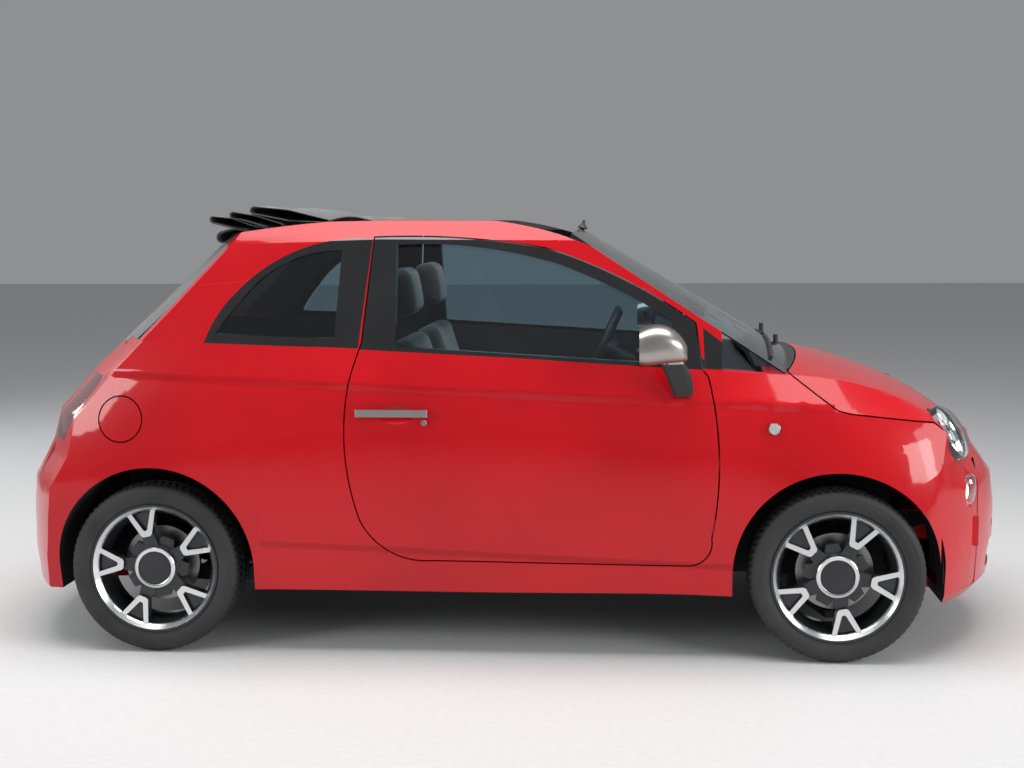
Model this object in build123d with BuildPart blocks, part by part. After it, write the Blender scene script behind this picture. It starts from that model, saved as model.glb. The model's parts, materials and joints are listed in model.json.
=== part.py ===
from build123d import *
import os
from math import cos, hypot, radians, sin

# Small open-top city car. X forward, Y to the car's left, Z up, millimetres.
# Origin: on the ground, at the middle of the car's length and width.

# overall
length = 3571
body_width = 1627
wheelbase = 2300
front_overhang = 651
front_track = 1413
rear_track = 1407
front_axle_x = length / 2 - front_overhang
rear_axle_x = front_axle_x - wheelbase

# wheels
tyre_radius = 291
tyre_width = 195
rim_radius = 220
arch_radius = 345
arch_rise = 4
lock_room = 20

# cabin walls, gaps
wall_y = 690
door_rebate_width = 8
panel_gap = 5
sill_z = 221
skirt_top_z = 320
floor_top_z = 300

# cross-sections of the lower body, tail to nose.  Each row:
# x, z_low, y_low, y_side, z_side, y_shoulder, z_shoulder, y_belt, z_belt, z_crown
body_sections = [
    (-1800, 205, 640, 700, 560, 610, 905, 560, 1030, 1046),
    (-1480, 205, 735, 780, 560, 712, 925, 655, 1050, 1066),
    (-1165, 215, 775, 812, 600, 772, 934, 724, 1062, 1078),
    (-600, 221, 775, 811, 610, 792, 917, 748, 1044, 1060),
    (100, 221, 775, 809, 610, 797, 889, 755, 1006, 1022),
    (700, 221, 775, 811, 610, 793, 852, 745, 972, 1002),
    (1134, 215, 772, 812, 600, 765, 832, 672, 934, 975),
    (1320, 200, 755, 808, 560, 734, 812, 645, 880, 920),
    (1470, 180, 715, 765, 500, 688, 784, 610, 806, 853),
    (1620, 165, 620, 665, 480, 620, 690, 540, 712, 750),
    (1800, 160, 500, 560, 450, 510, 560, 430, 590, 612),
]
# plan outlines of nose and tail, ground up.  Each row:
# z, x_nose, nose_drop, x_tail, tail_drop (drops are at plan_half from the middle)
plan_sections = [
    (140, 1700, 480, -1725, 340),
    (210, 1768, 480, -1772, 340),
    (320, 1784, 480, -1785, 340),
    (450, 1784, 480, -1785, 340),
    (560, 1768, 440, -1777, 340),
    (670, 1688, 330, -1712, 340),
    (800, 1645, 280, -1674, 340),
    (960, 1640, 280, -1525, 340),
    (1180, 1640, 280, -1285, 340),
    (1500, 1640, 280, -945, 340),
]
plan_half = 880
plan_pull = 420


def cross_plane(x):
    """Plane across the car: local x is Y, local y is Z."""
    return Plane(origin=(x, 0, 0), x_dir=(0, 1, 0), z_dir=(1, 0, 0))


with BuildPart() as hull_long:
    for x, z_low, y_low, y_side, z_side, y_sh, z_sh, y_belt, z_belt, z_crown in body_sections:
        with BuildSketch(cross_plane(x)):
            with BuildLine():
                Line((-y_low, z_low), (y_low, z_low))
                ThreePointArc((y_low, z_low), (y_side, z_side), (y_sh, z_sh))
                Line((y_sh, z_sh), (y_belt, z_belt))
                ThreePointArc((y_belt, z_belt), (0, z_crown), (-y_belt, z_belt))
                Line((-y_belt, z_belt), (-y_sh, z_sh))
                ThreePointArc((-y_sh, z_sh), (-y_side, z_side), (-y_low, z_low))
            make_face()
    loft()

with BuildPart() as hull_plan:
    for z, x_nose, nose_drop, x_tail, tail_drop in plan_sections:
        nose_corner = x_nose - nose_drop
        tail_corner = x_tail + tail_drop
        nose_pull = (4 * x_nose - nose_corner) / 3
        tail_pull = (4 * x_tail - tail_corner) / 3
        with BuildSketch(Plane.XY.offset(z)):
            with BuildLine():
                Line((tail_corner, -plan_half), (nose_corner, -plan_half))
                Bezier((nose_corner, -plan_half), (nose_pull, -plan_pull), (nose_pull, plan_pull),
                       (nose_corner, plan_half))
                Line((nose_corner, plan_half), (tail_corner, plan_half))
                Bezier((tail_corner, plan_half), (tail_pull, plan_pull), (tail_pull, -plan_pull),
                       (tail_corner, -plan_half))
            make_face()
    loft(ruled=True)

with BuildPart() as hull:
    add(hull_long.part)
    add(hull_plan.part, mode=Mode.INTERSECT)


# greenhouse sections, tail to nose.  Each row:
# x, y_base, z_base, y_cant, z_cant, y_roof, z_roof
house_sections = [
    (-1420, 700, 1020, 598, 1375, 540, 1446),
    (-1000, 735, 1025, 616, 1385, 552, 1457),
    (-400, 752, 1010, 626, 1403, 557, 1466),
    (200, 757, 975, 624, 1398, 556, 1462),
    (600, 752, 945, 602, 1395, 545, 1458),
    (1000, 737, 930, 574, 1390, 530, 1450),
]
pillar_depth = 36
glass_thick = 5
seat_gap = 0.3


def house(inset):
    """Greenhouse solid, drawn in by inset on every side but the bottom."""
    with BuildPart() as shape:
        for x, y_base, z_base, y_cant, z_cant, y_roof, z_roof in house_sections:
            with BuildSketch(cross_plane(x)):
                with BuildLine():
                    Polyline((-y_roof + inset, z_roof - inset), (-y_cant + inset, z_cant - 0.3 * inset),
                             (-y_base + inset, z_base), (y_base - inset, z_base),
                             (y_cant - inset, z_cant - 0.3 * inset), (y_roof - inset, z_roof - inset))
                    ThreePointArc((y_roof - inset, z_roof - inset), (0, z_roof + 12 - inset),
                                  (-y_roof + inset, z_roof - inset))
                make_face()
        loft(ruled=True)
        add(hull_plan.part, mode=Mode.INTERSECT)
    return shape.part


def slab(face, y_from, y_to):
    """Side outline as a block on the car's right, between two distances from the middle."""
    return extrude(Pos(0, -y_from, 0) * face, amount=y_to - y_from, mode=Mode.PRIVATE)


def outline(face, amount):
    """Side outline grown by amount, or shrunk where it is negative."""
    return offset(face, amount=amount, kind=Kind.INTERSECTION, mode=Mode.PRIVATE)


os.makedirs("parts", exist_ok=True)

# ---- side outlines, drawn in X and Z
with BuildSketch(Plane.XZ) as door_sketch:
    with BuildLine():
        ThreePointArc((704, 948), (739, 700), (717, 418))
        ThreePointArc((717, 418), (700, 352), (640, 326))
        Line((640, 326), (-211, 332))
        ThreePointArc((-211, 332), (-370, 372), (-452, 470))
        ThreePointArc((-452, 470), (-500, 748), (-478, 960))
        Line((-478, 960), (-448, 1060))
        Line((-448, 1060), (-418, 1408))
        ThreePointArc((-418, 1408), (-120, 1404), (162, 1370))
        ThreePointArc((162, 1370), (430, 1262), (664, 1122))
        Line((664, 1122), (684, 972))
        Line((684, 972), (704, 948))
    make_face()
with BuildSketch(Plane.XZ) as door_window_sketch:
    with BuildLine():
        Line((-336, 1046), (586, 990))
        Line((586, 990), (586, 1132))
        ThreePointArc((586, 1132), (380, 1246), (214, 1316))
        ThreePointArc((214, 1316), (-40, 1372), (-343, 1384))
        Line((-343, 1384), (-336, 1046))
    make_face()
with BuildSketch(Plane.XZ) as quarter_opening_sketch:
    with BuildLine():
        Line((-955, 1086), (-545, 1072))
        Line((-545, 1072), (-530, 1366))
        ThreePointArc((-530, 1366), (-720, 1326), (-872, 1198))
        ThreePointArc((-872, 1198), (-920, 1140), (-955, 1086))
    make_face()
with BuildSketch(Plane.XZ) as rail_sketch:
    with BuildLine():
        Line((-1300, 1010), (-1300, 1075))
        Line((-1300, 1075), (-940, 1420))
        ThreePointArc((-940, 1420), (-600, 1462), (-233, 1472))
        ThreePointArc((-233, 1472), (40, 1456), (315, 1378))
        Line((315, 1378), (930, 978))
        Line((930, 978), (930, 930))
        Line((930, 930), (720, 930))
        Line((720, 930), (690, 1010))
        Line((690, 1010), (-1300, 1010))
    make_face()
with BuildSketch(Plane.XZ) as bonnet_sketch:
    with BuildLine():
        Line((955, 1100), (955, 976))
        ThreePointArc((955, 976), (1050, 902), (1130, 842))
        Line((1130, 842), (1168, 832))
        Line((1168, 832), (1454, 796))
        Line((1454, 796), (1560, 716))
        Line((1560, 716), (1750, 668))
        Line((1750, 668), (1750, 1100))
        Line((1750, 1100), (955, 1100))
    make_face()

house_outer = house(0)
house_inner = house(pillar_depth)


# ---- hollows inside the body
cabin_front_x = 748
dash_front_x = 890
cabin_rear_x = -780
boot_front_x = -1060
boot_back_x = -1600
bay_rear_x = 830
bay_front_x = 1500
bay_half = 400
bay_floor_z = 240
boot_half = 530
boot_floor_z = 330
scuttle_z = 690
wheel_well_front = 430
wheel_well_rear = 560
arch_z = tyre_radius + arch_rise


def box_between(x_from, x_to, half, z_from, z_to):
    """Block between two stations, centred across the car."""
    corner = Pos(x_from, -half, z_from)
    return corner * Box(x_to - x_from, 2 * half, z_to - z_from, align=(Align.MIN,) * 3, mode=Mode.PRIVATE)


def rod(start, end, radius):
    """Round bar between two points."""
    run = Vector(*end) - Vector(*start)
    bar = Cylinder(radius, run.length, align=(Align.CENTER, Align.CENTER, Align.MIN), mode=Mode.PRIVATE)
    return Plane(origin=start, z_dir=run) * bar


cabin_space = [
    box_between(cabin_rear_x, cabin_front_x, wall_y, floor_top_z, 1300),
    box_between(cabin_front_x - 1, dash_front_x, wall_y, scuttle_z, 1300),
    box_between(boot_front_x, cabin_rear_x + 1, boot_half, boot_floor_z, 1300),
]
boot_space = box_between(boot_back_x, boot_front_x + 1, boot_half, boot_floor_z, 1300)
bay_space = box_between(bay_rear_x, bay_front_x, bay_half, bay_floor_z, 1300)
wells = [
    (front_axle_x, wheel_well_front, 300, arch_radius + lock_room),
    (front_axle_x, wheel_well_front, 500, arch_radius),
    (rear_axle_x, wheel_well_rear, 400, arch_radius),
]
with BuildPart() as wheel_wells:
    for x, y_in, depth, radius in wells:
        for side in (1, -1):
            with BuildSketch(Plane.XZ.offset(side * y_in)):
                with Locations((x, arch_z)):
                    Circle(radius)
                with Locations((x, arch_z - 150)):
                    Rectangle(2 * radius, 300)
            extrude(amount=side * depth)

with BuildPart() as shell:
    add(hull.part)
    add(cabin_space, mode=Mode.SUBTRACT)
    add(boot_space, mode=Mode.SUBTRACT)
    add(bay_space, mode=Mode.SUBTRACT)
    add(wheel_wells.part, mode=Mode.SUBTRACT)


# ---- what each panel takes of the shell, as side outlines
outer_y = 860
tail_half = 545
boot_lid_half = 500
boot_lid_low_z = 716
boot_lid_high_z = 1000
frame_half = 600
bonnet_depth = 30
lid_depth = 35
seam_nose = [(1340, 560), (1548, 686), (1850, 664)]
seam_tail = [(-1318, 616), (-1494, 706), (-1850, 706)]
with BuildSketch(Plane.XZ) as front_bumper_sketch:
    with BuildLine():
        Polyline((1340, 100), *seam_nose, (1850, 100), close=True)
    make_face()
with BuildSketch(Plane.XZ) as rear_bumper_sketch:
    with BuildLine():
        Polyline((-1318, 100), *seam_tail, (-1850, 100), close=True)
    make_face()
with BuildSketch(Plane.XZ) as wing_sketch:
    with BuildLine():
        Polyline((752, skirt_top_z), (752, 1100), (1850, 1100), *reversed(seam_nose), (1340, 200),
                 (front_axle_x, 200), (front_axle_x, skirt_top_z), close=True)
    make_face()
with BuildSketch(Plane.XZ) as skirt_sketch:
    with BuildLine():
        Polyline((rear_axle_x, 100), (rear_axle_x, skirt_top_z), (front_axle_x, skirt_top_z),
                 (front_axle_x, 100), close=True)
    make_face()
with BuildSketch(Plane.XZ) as side_sketch:
    with BuildLine():
        Polyline((752, skirt_top_z), (752, 1600), (-1850, 1600), *reversed(seam_tail),
                 (-1318, skirt_top_z), close=True)
    make_face()
with BuildSketch(Plane.XY) as bonnet_rear_sketch:
    with BuildLine():
        Line((700, -outer_y), (958, -700))
        ThreePointArc((958, -700), (1050, 0), (958, 700))
        Line((958, 700), (700, outer_y))
        Line((700, outer_y), (700, -outer_y))
    make_face()
with BuildSketch(Plane.YZ) as boot_sketch:
    with Locations((0, (boot_lid_low_z + boot_lid_high_z) / 2)):
        RectangleRounded(2 * boot_lid_half, boot_lid_high_z - boot_lid_low_z, 60)
with BuildSketch(Plane.YZ) as rear_glass_sketch:
    with Locations((0, 1225)):
        RectangleRounded(820, 210, 50)
with BuildSketch(Plane.XZ) as tail_lamp_sketch:
    with BuildLine():
        Line((-1366, 940), (-1366, 922))
        ThreePointArc((-1366, 922), (-1438, 814), (-1500, 716))
        Line((-1500, 716), (-1700, 716))
        Line((-1700, 716), (-1700, 940))
        Line((-1700, 940), (-1366, 940))
    make_face()

with BuildSketch(Plane.XZ) as pillar_black_sketch:
    with BuildLine():
        Line((-992, 1058), (-462, 1040))
        Line((-462, 1040), (-425, 1404))
        ThreePointArc((-425, 1404), (-700, 1360), (-899, 1216))
        ThreePointArc((-899, 1216), (-962, 1130), (-992, 1058))
    make_face()
with BuildSketch(Plane.XZ) as sail_sketch:
    with BuildLine():
        Polyline((695, 975), (690, 1108), (858, 978), (850, 966), close=True)
    make_face()
with BuildSketch(Plane.XZ) as door_upper_sketch:
    with BuildLine():
        Polyline((-600, 1044), (-440, 1036), (66, 1010), (700, 972), (800, 972), (800, 1500), (-600, 1500), close=True)
    make_face()

right_side = slab(side_sketch.sketch, tail_half, outer_y) - box_between(boot_front_x, 752, wall_y, 100, 1300)
door_slab = slab(door_sketch.sketch, wall_y, outer_y)
door_frame_slab = slab(door_sketch.sketch, 500, outer_y)
door_rebate = (slab(outline(door_sketch.sketch, 1) - outline(door_sketch.sketch, -door_rebate_width), 500, outer_y)
               & box_between(-700, -380, outer_y, 400, 1500)
               & (Pos(0, 9, 0) * hull.part + Pos(0, 4, 0) * house_outer))
door_hole = slab(outline(door_sketch.sketch, panel_gap), 500, outer_y)
door_window_hole = slab(door_window_sketch.sketch, 500, outer_y)
quarter_hole = slab(quarter_opening_sketch.sketch, 500, outer_y)
rail_slab = slab(rail_sketch.sketch, -outer_y, outer_y)
bonnet_slab = slab(bonnet_sketch.sketch, -outer_y, outer_y)
bonnet_hole = slab(outline(bonnet_sketch.sketch, panel_gap), -outer_y, outer_y)
front_bumper_slab = slab(front_bumper_sketch.sketch, -outer_y, outer_y)
rear_bumper_slab = slab(rear_bumper_sketch.sketch, -outer_y, outer_y)
wing_slab = slab(wing_sketch.sketch, frame_half, outer_y)
skirt_slab = slab(skirt_sketch.sketch, wall_y, outer_y)
tail_lamp_slab = slab(tail_lamp_sketch.sketch, tail_half, outer_y)
bonnet_rear = extrude(bonnet_rear_sketch.sketch, amount=1300, mode=Mode.PRIVATE)
bonnet_rear_gap = Pos(panel_gap, 0, 0) * bonnet_rear
boot_block = extrude(boot_sketch.sketch, amount=-2000, mode=Mode.PRIVATE)
boot_hole = extrude(offset(boot_sketch.sketch, amount=panel_gap, mode=Mode.PRIVATE), amount=-2000,
                    mode=Mode.PRIVATE)
roof_opening_half = 512
roof_hole = box_between(-1500, 400, roof_opening_half, 1380, 1600)
tail_zone = box_between(-1850, -1330, tail_half, seam_tail[-1][1], 1046)
hull_low = Pos(0, 0, -bonnet_depth) * hull.part
hull_fore = Pos(lid_depth, 0, 0) * hull.part
house_wall = house_outer - house_inner
greenhouse = (house_wall & rail_slab) - roof_hole
black_zone = slab(pillar_black_sketch.sketch, 500, outer_y) + slab(sail_sketch.sketch, 500, outer_y)
door_upper = slab(door_upper_sketch.sketch, 500, outer_y)

# ---- painted panels
with BuildPart() as bonnet:
    add(hull.part)
    add(bonnet_slab, mode=Mode.INTERSECT)
    add(hull_low, mode=Mode.SUBTRACT)
    add(bonnet_rear_gap, mode=Mode.SUBTRACT)

with BuildPart() as boot_lid:
    add(hull.part)
    add(boot_block, mode=Mode.INTERSECT)
    add(hull_fore, mode=Mode.SUBTRACT)

with BuildPart() as tail_panel:
    add(hull.part)
    add(tail_zone, mode=Mode.INTERSECT)
    add(hull_fore, mode=Mode.SUBTRACT)
    add(boot_hole, mode=Mode.SUBTRACT)

with BuildPart() as cowl:
    add(hull.part)
    add(bonnet_rear, mode=Mode.INTERSECT)
    add(hull_low, mode=Mode.SUBTRACT)
    add(box_between(870, 1100, frame_half, 900, 1100), mode=Mode.INTERSECT)

with BuildPart() as tail_lamp_right:
    add(shell.part)
    add(tail_lamp_slab, mode=Mode.INTERSECT)

with BuildPart() as side_right:
    add(shell.part)
    add(right_side, mode=Mode.INTERSECT)
    add(slab(side_sketch.sketch, 300, outer_y) & greenhouse)
    add(door_hole, mode=Mode.SUBTRACT)
    add(quarter_hole, mode=Mode.SUBTRACT)
    add(tail_lamp_slab, mode=Mode.SUBTRACT)

with BuildPart() as side_surround_right:
    add(side_right.part)
    add(black_zone, mode=Mode.INTERSECT)

with BuildPart() as door_right:
    add(shell.part)
    add(door_slab, mode=Mode.INTERSECT)
    add(house_wall & door_frame_slab)
    add(door_window_hole, mode=Mode.SUBTRACT)
    add(door_rebate, mode=Mode.SUBTRACT)

with BuildPart() as door_surround_right:
    add(door_right.part)
    add(door_upper, mode=Mode.INTERSECT)

with BuildPart() as wing_right:
    add(shell.part)
    add(wing_slab, mode=Mode.INTERSECT)
    add(bonnet_hole, mode=Mode.SUBTRACT)
    add(side_right.part, mode=Mode.SUBTRACT)

with BuildPart() as skirt_right:
    add(shell.part)
    add(skirt_slab, mode=Mode.INTERSECT)

with BuildPart() as front_bumper:
    add(shell.part)
    add(front_bumper_slab, mode=Mode.INTERSECT)
    add(box_between(1300, 1640, 560, 210, 640), mode=Mode.SUBTRACT)

with BuildPart() as rear_bumper:
    add(shell.part)
    add(rear_bumper_slab, mode=Mode.INTERSECT)
    add(box_between(-1640, -1300, 560, 240, 700), mode=Mode.SUBTRACT)


# ---- the unitary floor: sills inward, bulkhead, wheel housings and boot floor
axle_slot_z = 270
beam_x = 1640
hull_bay = Pos(0, 0, -bonnet_depth - panel_gap) * hull.part
bay_clear = box_between(960, 1600, frame_half + 1, 700, 1300) - hull_bay
with BuildPart() as floor_zone:
    add(box_between(boot_front_x, 752, wall_y, 100, 1200))
    add(box_between(-1318, boot_front_x, tail_half, 100, 1200))
    add(box_between(752, 1500, frame_half, 100, 1200))
with BuildPart() as floor_pan:
    add(shell.part)
    add(floor_zone.part, mode=Mode.INTERSECT)
    add(front_bumper_slab, mode=Mode.SUBTRACT)
    add(rear_bumper_slab, mode=Mode.SUBTRACT)
    add(bay_clear, mode=Mode.SUBTRACT)
    add(cowl.part, mode=Mode.SUBTRACT)
    add(box_between(-1290, -820, 570, 100, axle_slot_z), mode=Mode.SUBTRACT)
    add(box_between(boot_back_x - 40, -1318, tail_half - 5, 250, boot_floor_z))
    add(box_between(boot_back_x - 40, boot_back_x, tail_half - 5, 250, seam_tail[-1][1] - 10))
    for side in (1, -1):
        with Locations((1340, side * 414, 400)):
            Box(260, 28, 100, align=(Align.MIN, Align.CENTER, Align.CENTER))
    add(box_between(1600, beam_x, 540, 350, 450))


# ---- windscreen, header, rear window and side glass
rake_x = 315 - 930
rake_z = 1378 - 978
rake_length = hypot(rake_x, rake_z)
rake = (rake_x / rake_length, 0, rake_z / rake_length)
rake_normal = Vector(rake[2], 0, -rake[0])
screen_base_half = 690
screen_top_half = 588
screen_low = -70
screen_bow_low = 60
screen_bow_high = 22
header_length = 78
header_depth = 32


def rake_plane(along):
    """Plane square to the windscreen's slope, measured up the slope from the pillar's foot."""
    return Plane(origin=(930 + rake[0] * along, 0, 978 + rake[2] * along), x_dir=(0, -1, 0), z_dir=rake)


def bowed_band(along, half, bow, depth):
    """Curved strip of the windscreen's section at a place up its slope."""
    with BuildSketch(rake_plane(along)) as band:
        with BuildLine():
            ThreePointArc((-half, 0), (0, bow), (half, 0))
            Line((half, 0), (half, -depth))
            ThreePointArc((half, -depth), (0, bow - depth), (-half, -depth))
            Line((-half, -depth), (-half, 0))
        make_face()
    return band.sketch


def screen_shape(along):
    """Half width and bow of the windscreen at a place up its slope."""
    part_way = (along - screen_low) / (rake_length - screen_low)
    half = screen_base_half + (screen_top_half - screen_base_half) * part_way
    bow = screen_bow_low + (screen_bow_high - screen_bow_low) * part_way
    return half, bow


def bowed_plate(low, high, depth):
    """Curved plate on the windscreen's surface between two places up its slope."""
    ends = [bowed_band(along, *screen_shape(along), depth) for along in (low, high)]
    return loft(ends, ruled=True, mode=Mode.PRIVATE)


right_pillar = slab(rail_sketch.sketch, 300, outer_y) & greenhouse
left_pillar = right_pillar.mirror(Plane.XZ)
with BuildPart() as windscreen:
    add(bowed_plate(screen_low, rake_length - 4, glass_thick))
    add(hull.part, mode=Mode.SUBTRACT)
    add(right_pillar, mode=Mode.SUBTRACT)
    add(left_pillar, mode=Mode.SUBTRACT)

with BuildPart() as header:
    add(bowed_plate(rake_length - 4, rake_length + header_length, header_depth))
    add(right_pillar, mode=Mode.SUBTRACT)
    add(left_pillar, mode=Mode.SUBTRACT)

with BuildPart() as quarter_glass:
    add(house(6) - house(11))
    add(slab(offset(quarter_opening_sketch.sketch, amount=-seat_gap, mode=Mode.PRIVATE), 500, outer_y),
        mode=Mode.INTERSECT)
    mirror(about=Plane.XZ)

with BuildPart() as door_glass_right:
    add(house(16) - house(20))
    add(slab(offset(door_window_sketch.sketch, amount=-seat_gap, mode=Mode.PRIVATE), 500, outer_y),
        mode=Mode.INTERSECT)

# ---- soft top: rear curtain with its glass, and the stack of folds on the rails
curtain_depth = 30
curtain_low_z = 1047
curtain_zone = box_between(-1500, -800, 640, curtain_low_z, 1428)
rear_glass_block = extrude(rear_glass_sketch.sketch, amount=-2000, mode=Mode.PRIVATE)
with BuildPart() as rear_canvas:
    add(house_inner)
    add(Pos(curtain_depth, 0, 0) * house_outer, mode=Mode.SUBTRACT)
    add(curtain_zone, mode=Mode.INTERSECT)
    add(tail_panel.part, mode=Mode.SUBTRACT)
    add(floor_pan.part, mode=Mode.SUBTRACT)
    add(side_right.part, mode=Mode.SUBTRACT)
    add(side_right.part.mirror(Plane.XZ), mode=Mode.SUBTRACT)
    add(rear_glass_block, mode=Mode.SUBTRACT)
with BuildPart() as rear_window:
    add((Pos(10, 0, 0) * house_inner) - (Pos(10 + glass_thick, 0, 0) * house_outer))
    add(extrude(offset(rear_glass_sketch.sketch, amount=-seat_gap, mode=Mode.PRIVATE), amount=-2000,
                mode=Mode.PRIVATE), mode=Mode.INTERSECT)

# ---- the open roof, folded on the rails in loops of cloth, rear to front.  Each row is three circles:
# nose_x, nose_z, nose_radius, belly_x, belly_z, belly_radius, foot_x, foot_z, foot_radius
pleats = [
    (-966, 1412, 22, -935, 1424, 18, -890, 1436, 7),
    (-997, 1471, 14, -905, 1454, 21, -822, 1439, 11),
    (-925, 1486, 14, -850, 1466, 21, -764, 1449, 11),
    (-851, 1503, 15, -735, 1486, 21, -594, 1464, 7),
]
stack_half = 552
cloth = 5


def pleat_face(circles, inset):
    """Side view of one loop of cloth, drawn in by inset."""
    with BuildSketch(Plane.XZ.offset(-stack_half)) as face:
        for k in (0, 3, 6):
            with Locations((circles[k], circles[k + 1])):
                Circle(max(circles[k + 2] - inset, 1))
        make_hull()
    return face.sketch


with BuildPart() as folded_roof:
    for row in pleats:
        extrude(pleat_face(row, 0), amount=2 * stack_half)
        extrude(pleat_face(row, cloth), amount=2 * stack_half, mode=Mode.SUBTRACT)
    with BuildSketch(Plane.XZ.offset(-stack_half)):
        with BuildLine():
            ThreePointArc((-600, 1468), (-505, 1483), (-432, 1466))
            Line((-432, 1466), (-440, 1459))
            ThreePointArc((-440, 1459), (-505, 1475), (-600, 1459))
            Line((-600, 1459), (-600, 1468))
        make_face()
    extrude(amount=2 * stack_half)
    add(right_pillar, mode=Mode.SUBTRACT)
    add(left_pillar, mode=Mode.SUBTRACT)
    add(rear_canvas.part, mode=Mode.SUBTRACT)

# ---- lamps
lamp_x, lamp_y, lamp_z = 1527, -585, 748
lamp_radius = 100
lamp_dome = 40
lamp_depth = 95
lamp_axis = (0.80, -0.33, 0.50)
lamp_plane = Plane(origin=(lamp_x, lamp_y, lamp_z), z_dir=lamp_axis)
day_plane = Plane(origin=(1604, -562, 546), z_dir=(0.86, -0.51, 0.0))
day_radius = 58
day_dome = 12
day_depth = 70


def lamp_body(plane, radius, dome, depth):
    """Round lamp: a domed lens on a bowl, turned about its own axis."""
    with BuildPart() as lamp:
        with BuildSketch(Plane.XZ):
            with BuildLine():
                Line((0, -depth), (0, dome))
                RadiusArc((0, dome), (radius, 0), (radius**2 + dome**2) / (2 * dome))
                Line((radius, 0), (0.6 * radius, -depth))
                Line((0.6 * radius, -depth), (0, -depth))
            make_face()
        revolve(axis=Axis.Z)
    return plane * lamp.part


def bore(plane, radius, back, front):
    """Cylinder along a lamp's own axis, to cut its seat."""
    return plane * (Pos(0, 0, -back) * Cylinder(radius, back + front, align=(Align.CENTER, Align.CENTER, Align.MIN)))


head_seat = bore(lamp_plane, lamp_radius + seat_gap, 160, 200)
head_clear = bore(lamp_plane, lamp_radius + panel_gap, 160, 200)
day_seat = bore(day_plane, day_radius + seat_gap, 90, 60)


# ---- wheel parts, turned about Y with the outer face at positive Y
bead_radius = 203
rim_half = 92
hub_bore = 30
hub_radius = 76
cap_ring_radius = 69
cap_radius = 58
cap_face = 66
disc_radius = 130
disc_y = -30
disc_thick = 20
spoke_back = 40
spoke_face = 80
pocket_depth = 16
spoke_count = 5
# half outlines of what repeats round the hub, hub outward.  Each row: radius, half_width
stem_outline = [(50, 30), (96, 22), (128, 17)]
fork_outline = [(110, 12), (116, 19), (206, 55)]
pocket_outline = [(131, 5), (136, 8), (206, 38)]
lobe_outline = [(55, 36), (106, 21)]
with BuildPart() as tyre:
    with BuildSketch(Plane.XY):
        with BuildLine():
            Polyline((bead_radius + seat_gap, -rim_half + 14), (rim_radius + 2, -rim_half + 12),
                     (234, -tyre_width / 2 + 4),
                     (262, -tyre_width / 2), (tyre_radius - 8, -tyre_width / 2 + 12),
                     (tyre_radius, -tyre_width / 2 + 26), (tyre_radius, tyre_width / 2 - 26),
                     (tyre_radius - 8, tyre_width / 2 - 12), (262, tyre_width / 2),
                     (234, tyre_width / 2 - 4), (rim_radius + 2, rim_half - 12),
                     (bead_radius + seat_gap, rim_half - 14), close=True)
        make_face()
    revolve(axis=Axis.Y)

def spoke_block(turn, half_outline, y_from, y_to):
    """Block along a line out from the hub, alike on both sides of it, between two depths."""
    far_side = [(radius, -half_width) for radius, half_width in reversed(half_outline)]
    with BuildSketch(Plane.XZ.offset(-y_from)) as face:
        with BuildLine():
            Polyline(*half_outline, *far_side, close=True)
        make_face()
    return Rot(0, turn, 0) * extrude(face.sketch, amount=y_from - y_to, mode=Mode.PRIVATE)


with BuildPart() as spokes:
    for k in range(spoke_count):
        turn = 360 / spoke_count * k
        add(spoke_block(turn, stem_outline, spoke_back - 6, spoke_face - 14))
        add(spoke_block(turn, fork_outline, spoke_back, spoke_face))
        add(spoke_block(turn, pocket_outline, spoke_face - pocket_depth, spoke_face), mode=Mode.SUBTRACT)
        add(spoke_block(turn + 180 / spoke_count, lobe_outline, spoke_back - 6, cap_face - 12))
    with BuildSketch(Plane.XY, mode=Mode.PRIVATE) as barrel_inside:
        with BuildLine():
            Polyline((0, 20), (bead_radius - 17, 28), (bead_radius - 3, rim_half - 12), (0, rim_half - 12),
                     close=True)
        make_face()
    add(revolve(barrel_inside.sketch, axis=Axis.Y, mode=Mode.PRIVATE), mode=Mode.INTERSECT)

with BuildPart() as rim:
    with BuildSketch(Plane.XY):
        with BuildLine():
            Polyline((rim_radius, -rim_half), (rim_radius, -rim_half + 8), (bead_radius, -rim_half + 12),
                     (bead_radius - 14, -40), (bead_radius - 14, 30), (bead_radius, rim_half - 12),
                     (rim_radius, rim_half - 8), (rim_radius, rim_half), (rim_radius - 8, rim_half),
                     (bead_radius - 8, rim_half - 16), (bead_radius - 22, 28), (bead_radius - 22, -40),
                     (bead_radius - 8, -rim_half + 16), (rim_radius - 8, -rim_half), close=True)
        make_face()
        with BuildLine():
            Polyline((hub_bore, disc_y), (disc_radius, disc_y), (disc_radius, disc_y + disc_thick),
                     (hub_radius - 10, disc_y + disc_thick), (hub_radius, spoke_back), (hub_radius, cap_face - 10),
                     (cap_ring_radius, cap_face - 4), (cap_ring_radius - 3, cap_face), (cap_radius, cap_face),
                     (cap_radius - 2, cap_face - 3), (0, cap_face - 1), (0, 40), (hub_bore, 40), close=True)
        make_face()
    revolve(axis=Axis.Y)
    add(spokes.part)


# ---- running gear
kingpin_top_y = 540
kingpin_low_y = 650
kingpin_low_z = 150
strut_radius = 18
spring_radius = 38
hub_gap = seat_gap
well_roof_z = arch_z + arch_radius + lock_room
front_wheel_y = front_track / 2
rear_wheel_y = rear_track / 2
hub_inner_y = front_wheel_y + disc_y - hub_gap
carrier_y = 622
kingpin_low = (front_axle_x, -kingpin_low_y, kingpin_low_z)
ball_radius = 14
kingpin_top = (front_axle_x, -kingpin_top_y, well_roof_z)


def on_kingpin(part_way):
    """Point on the steering axis, 0 at the lower ball joint and 1 at the strut top."""
    return tuple(low + (top - low) * part_way for low, top in zip(kingpin_low, kingpin_top))


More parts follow.
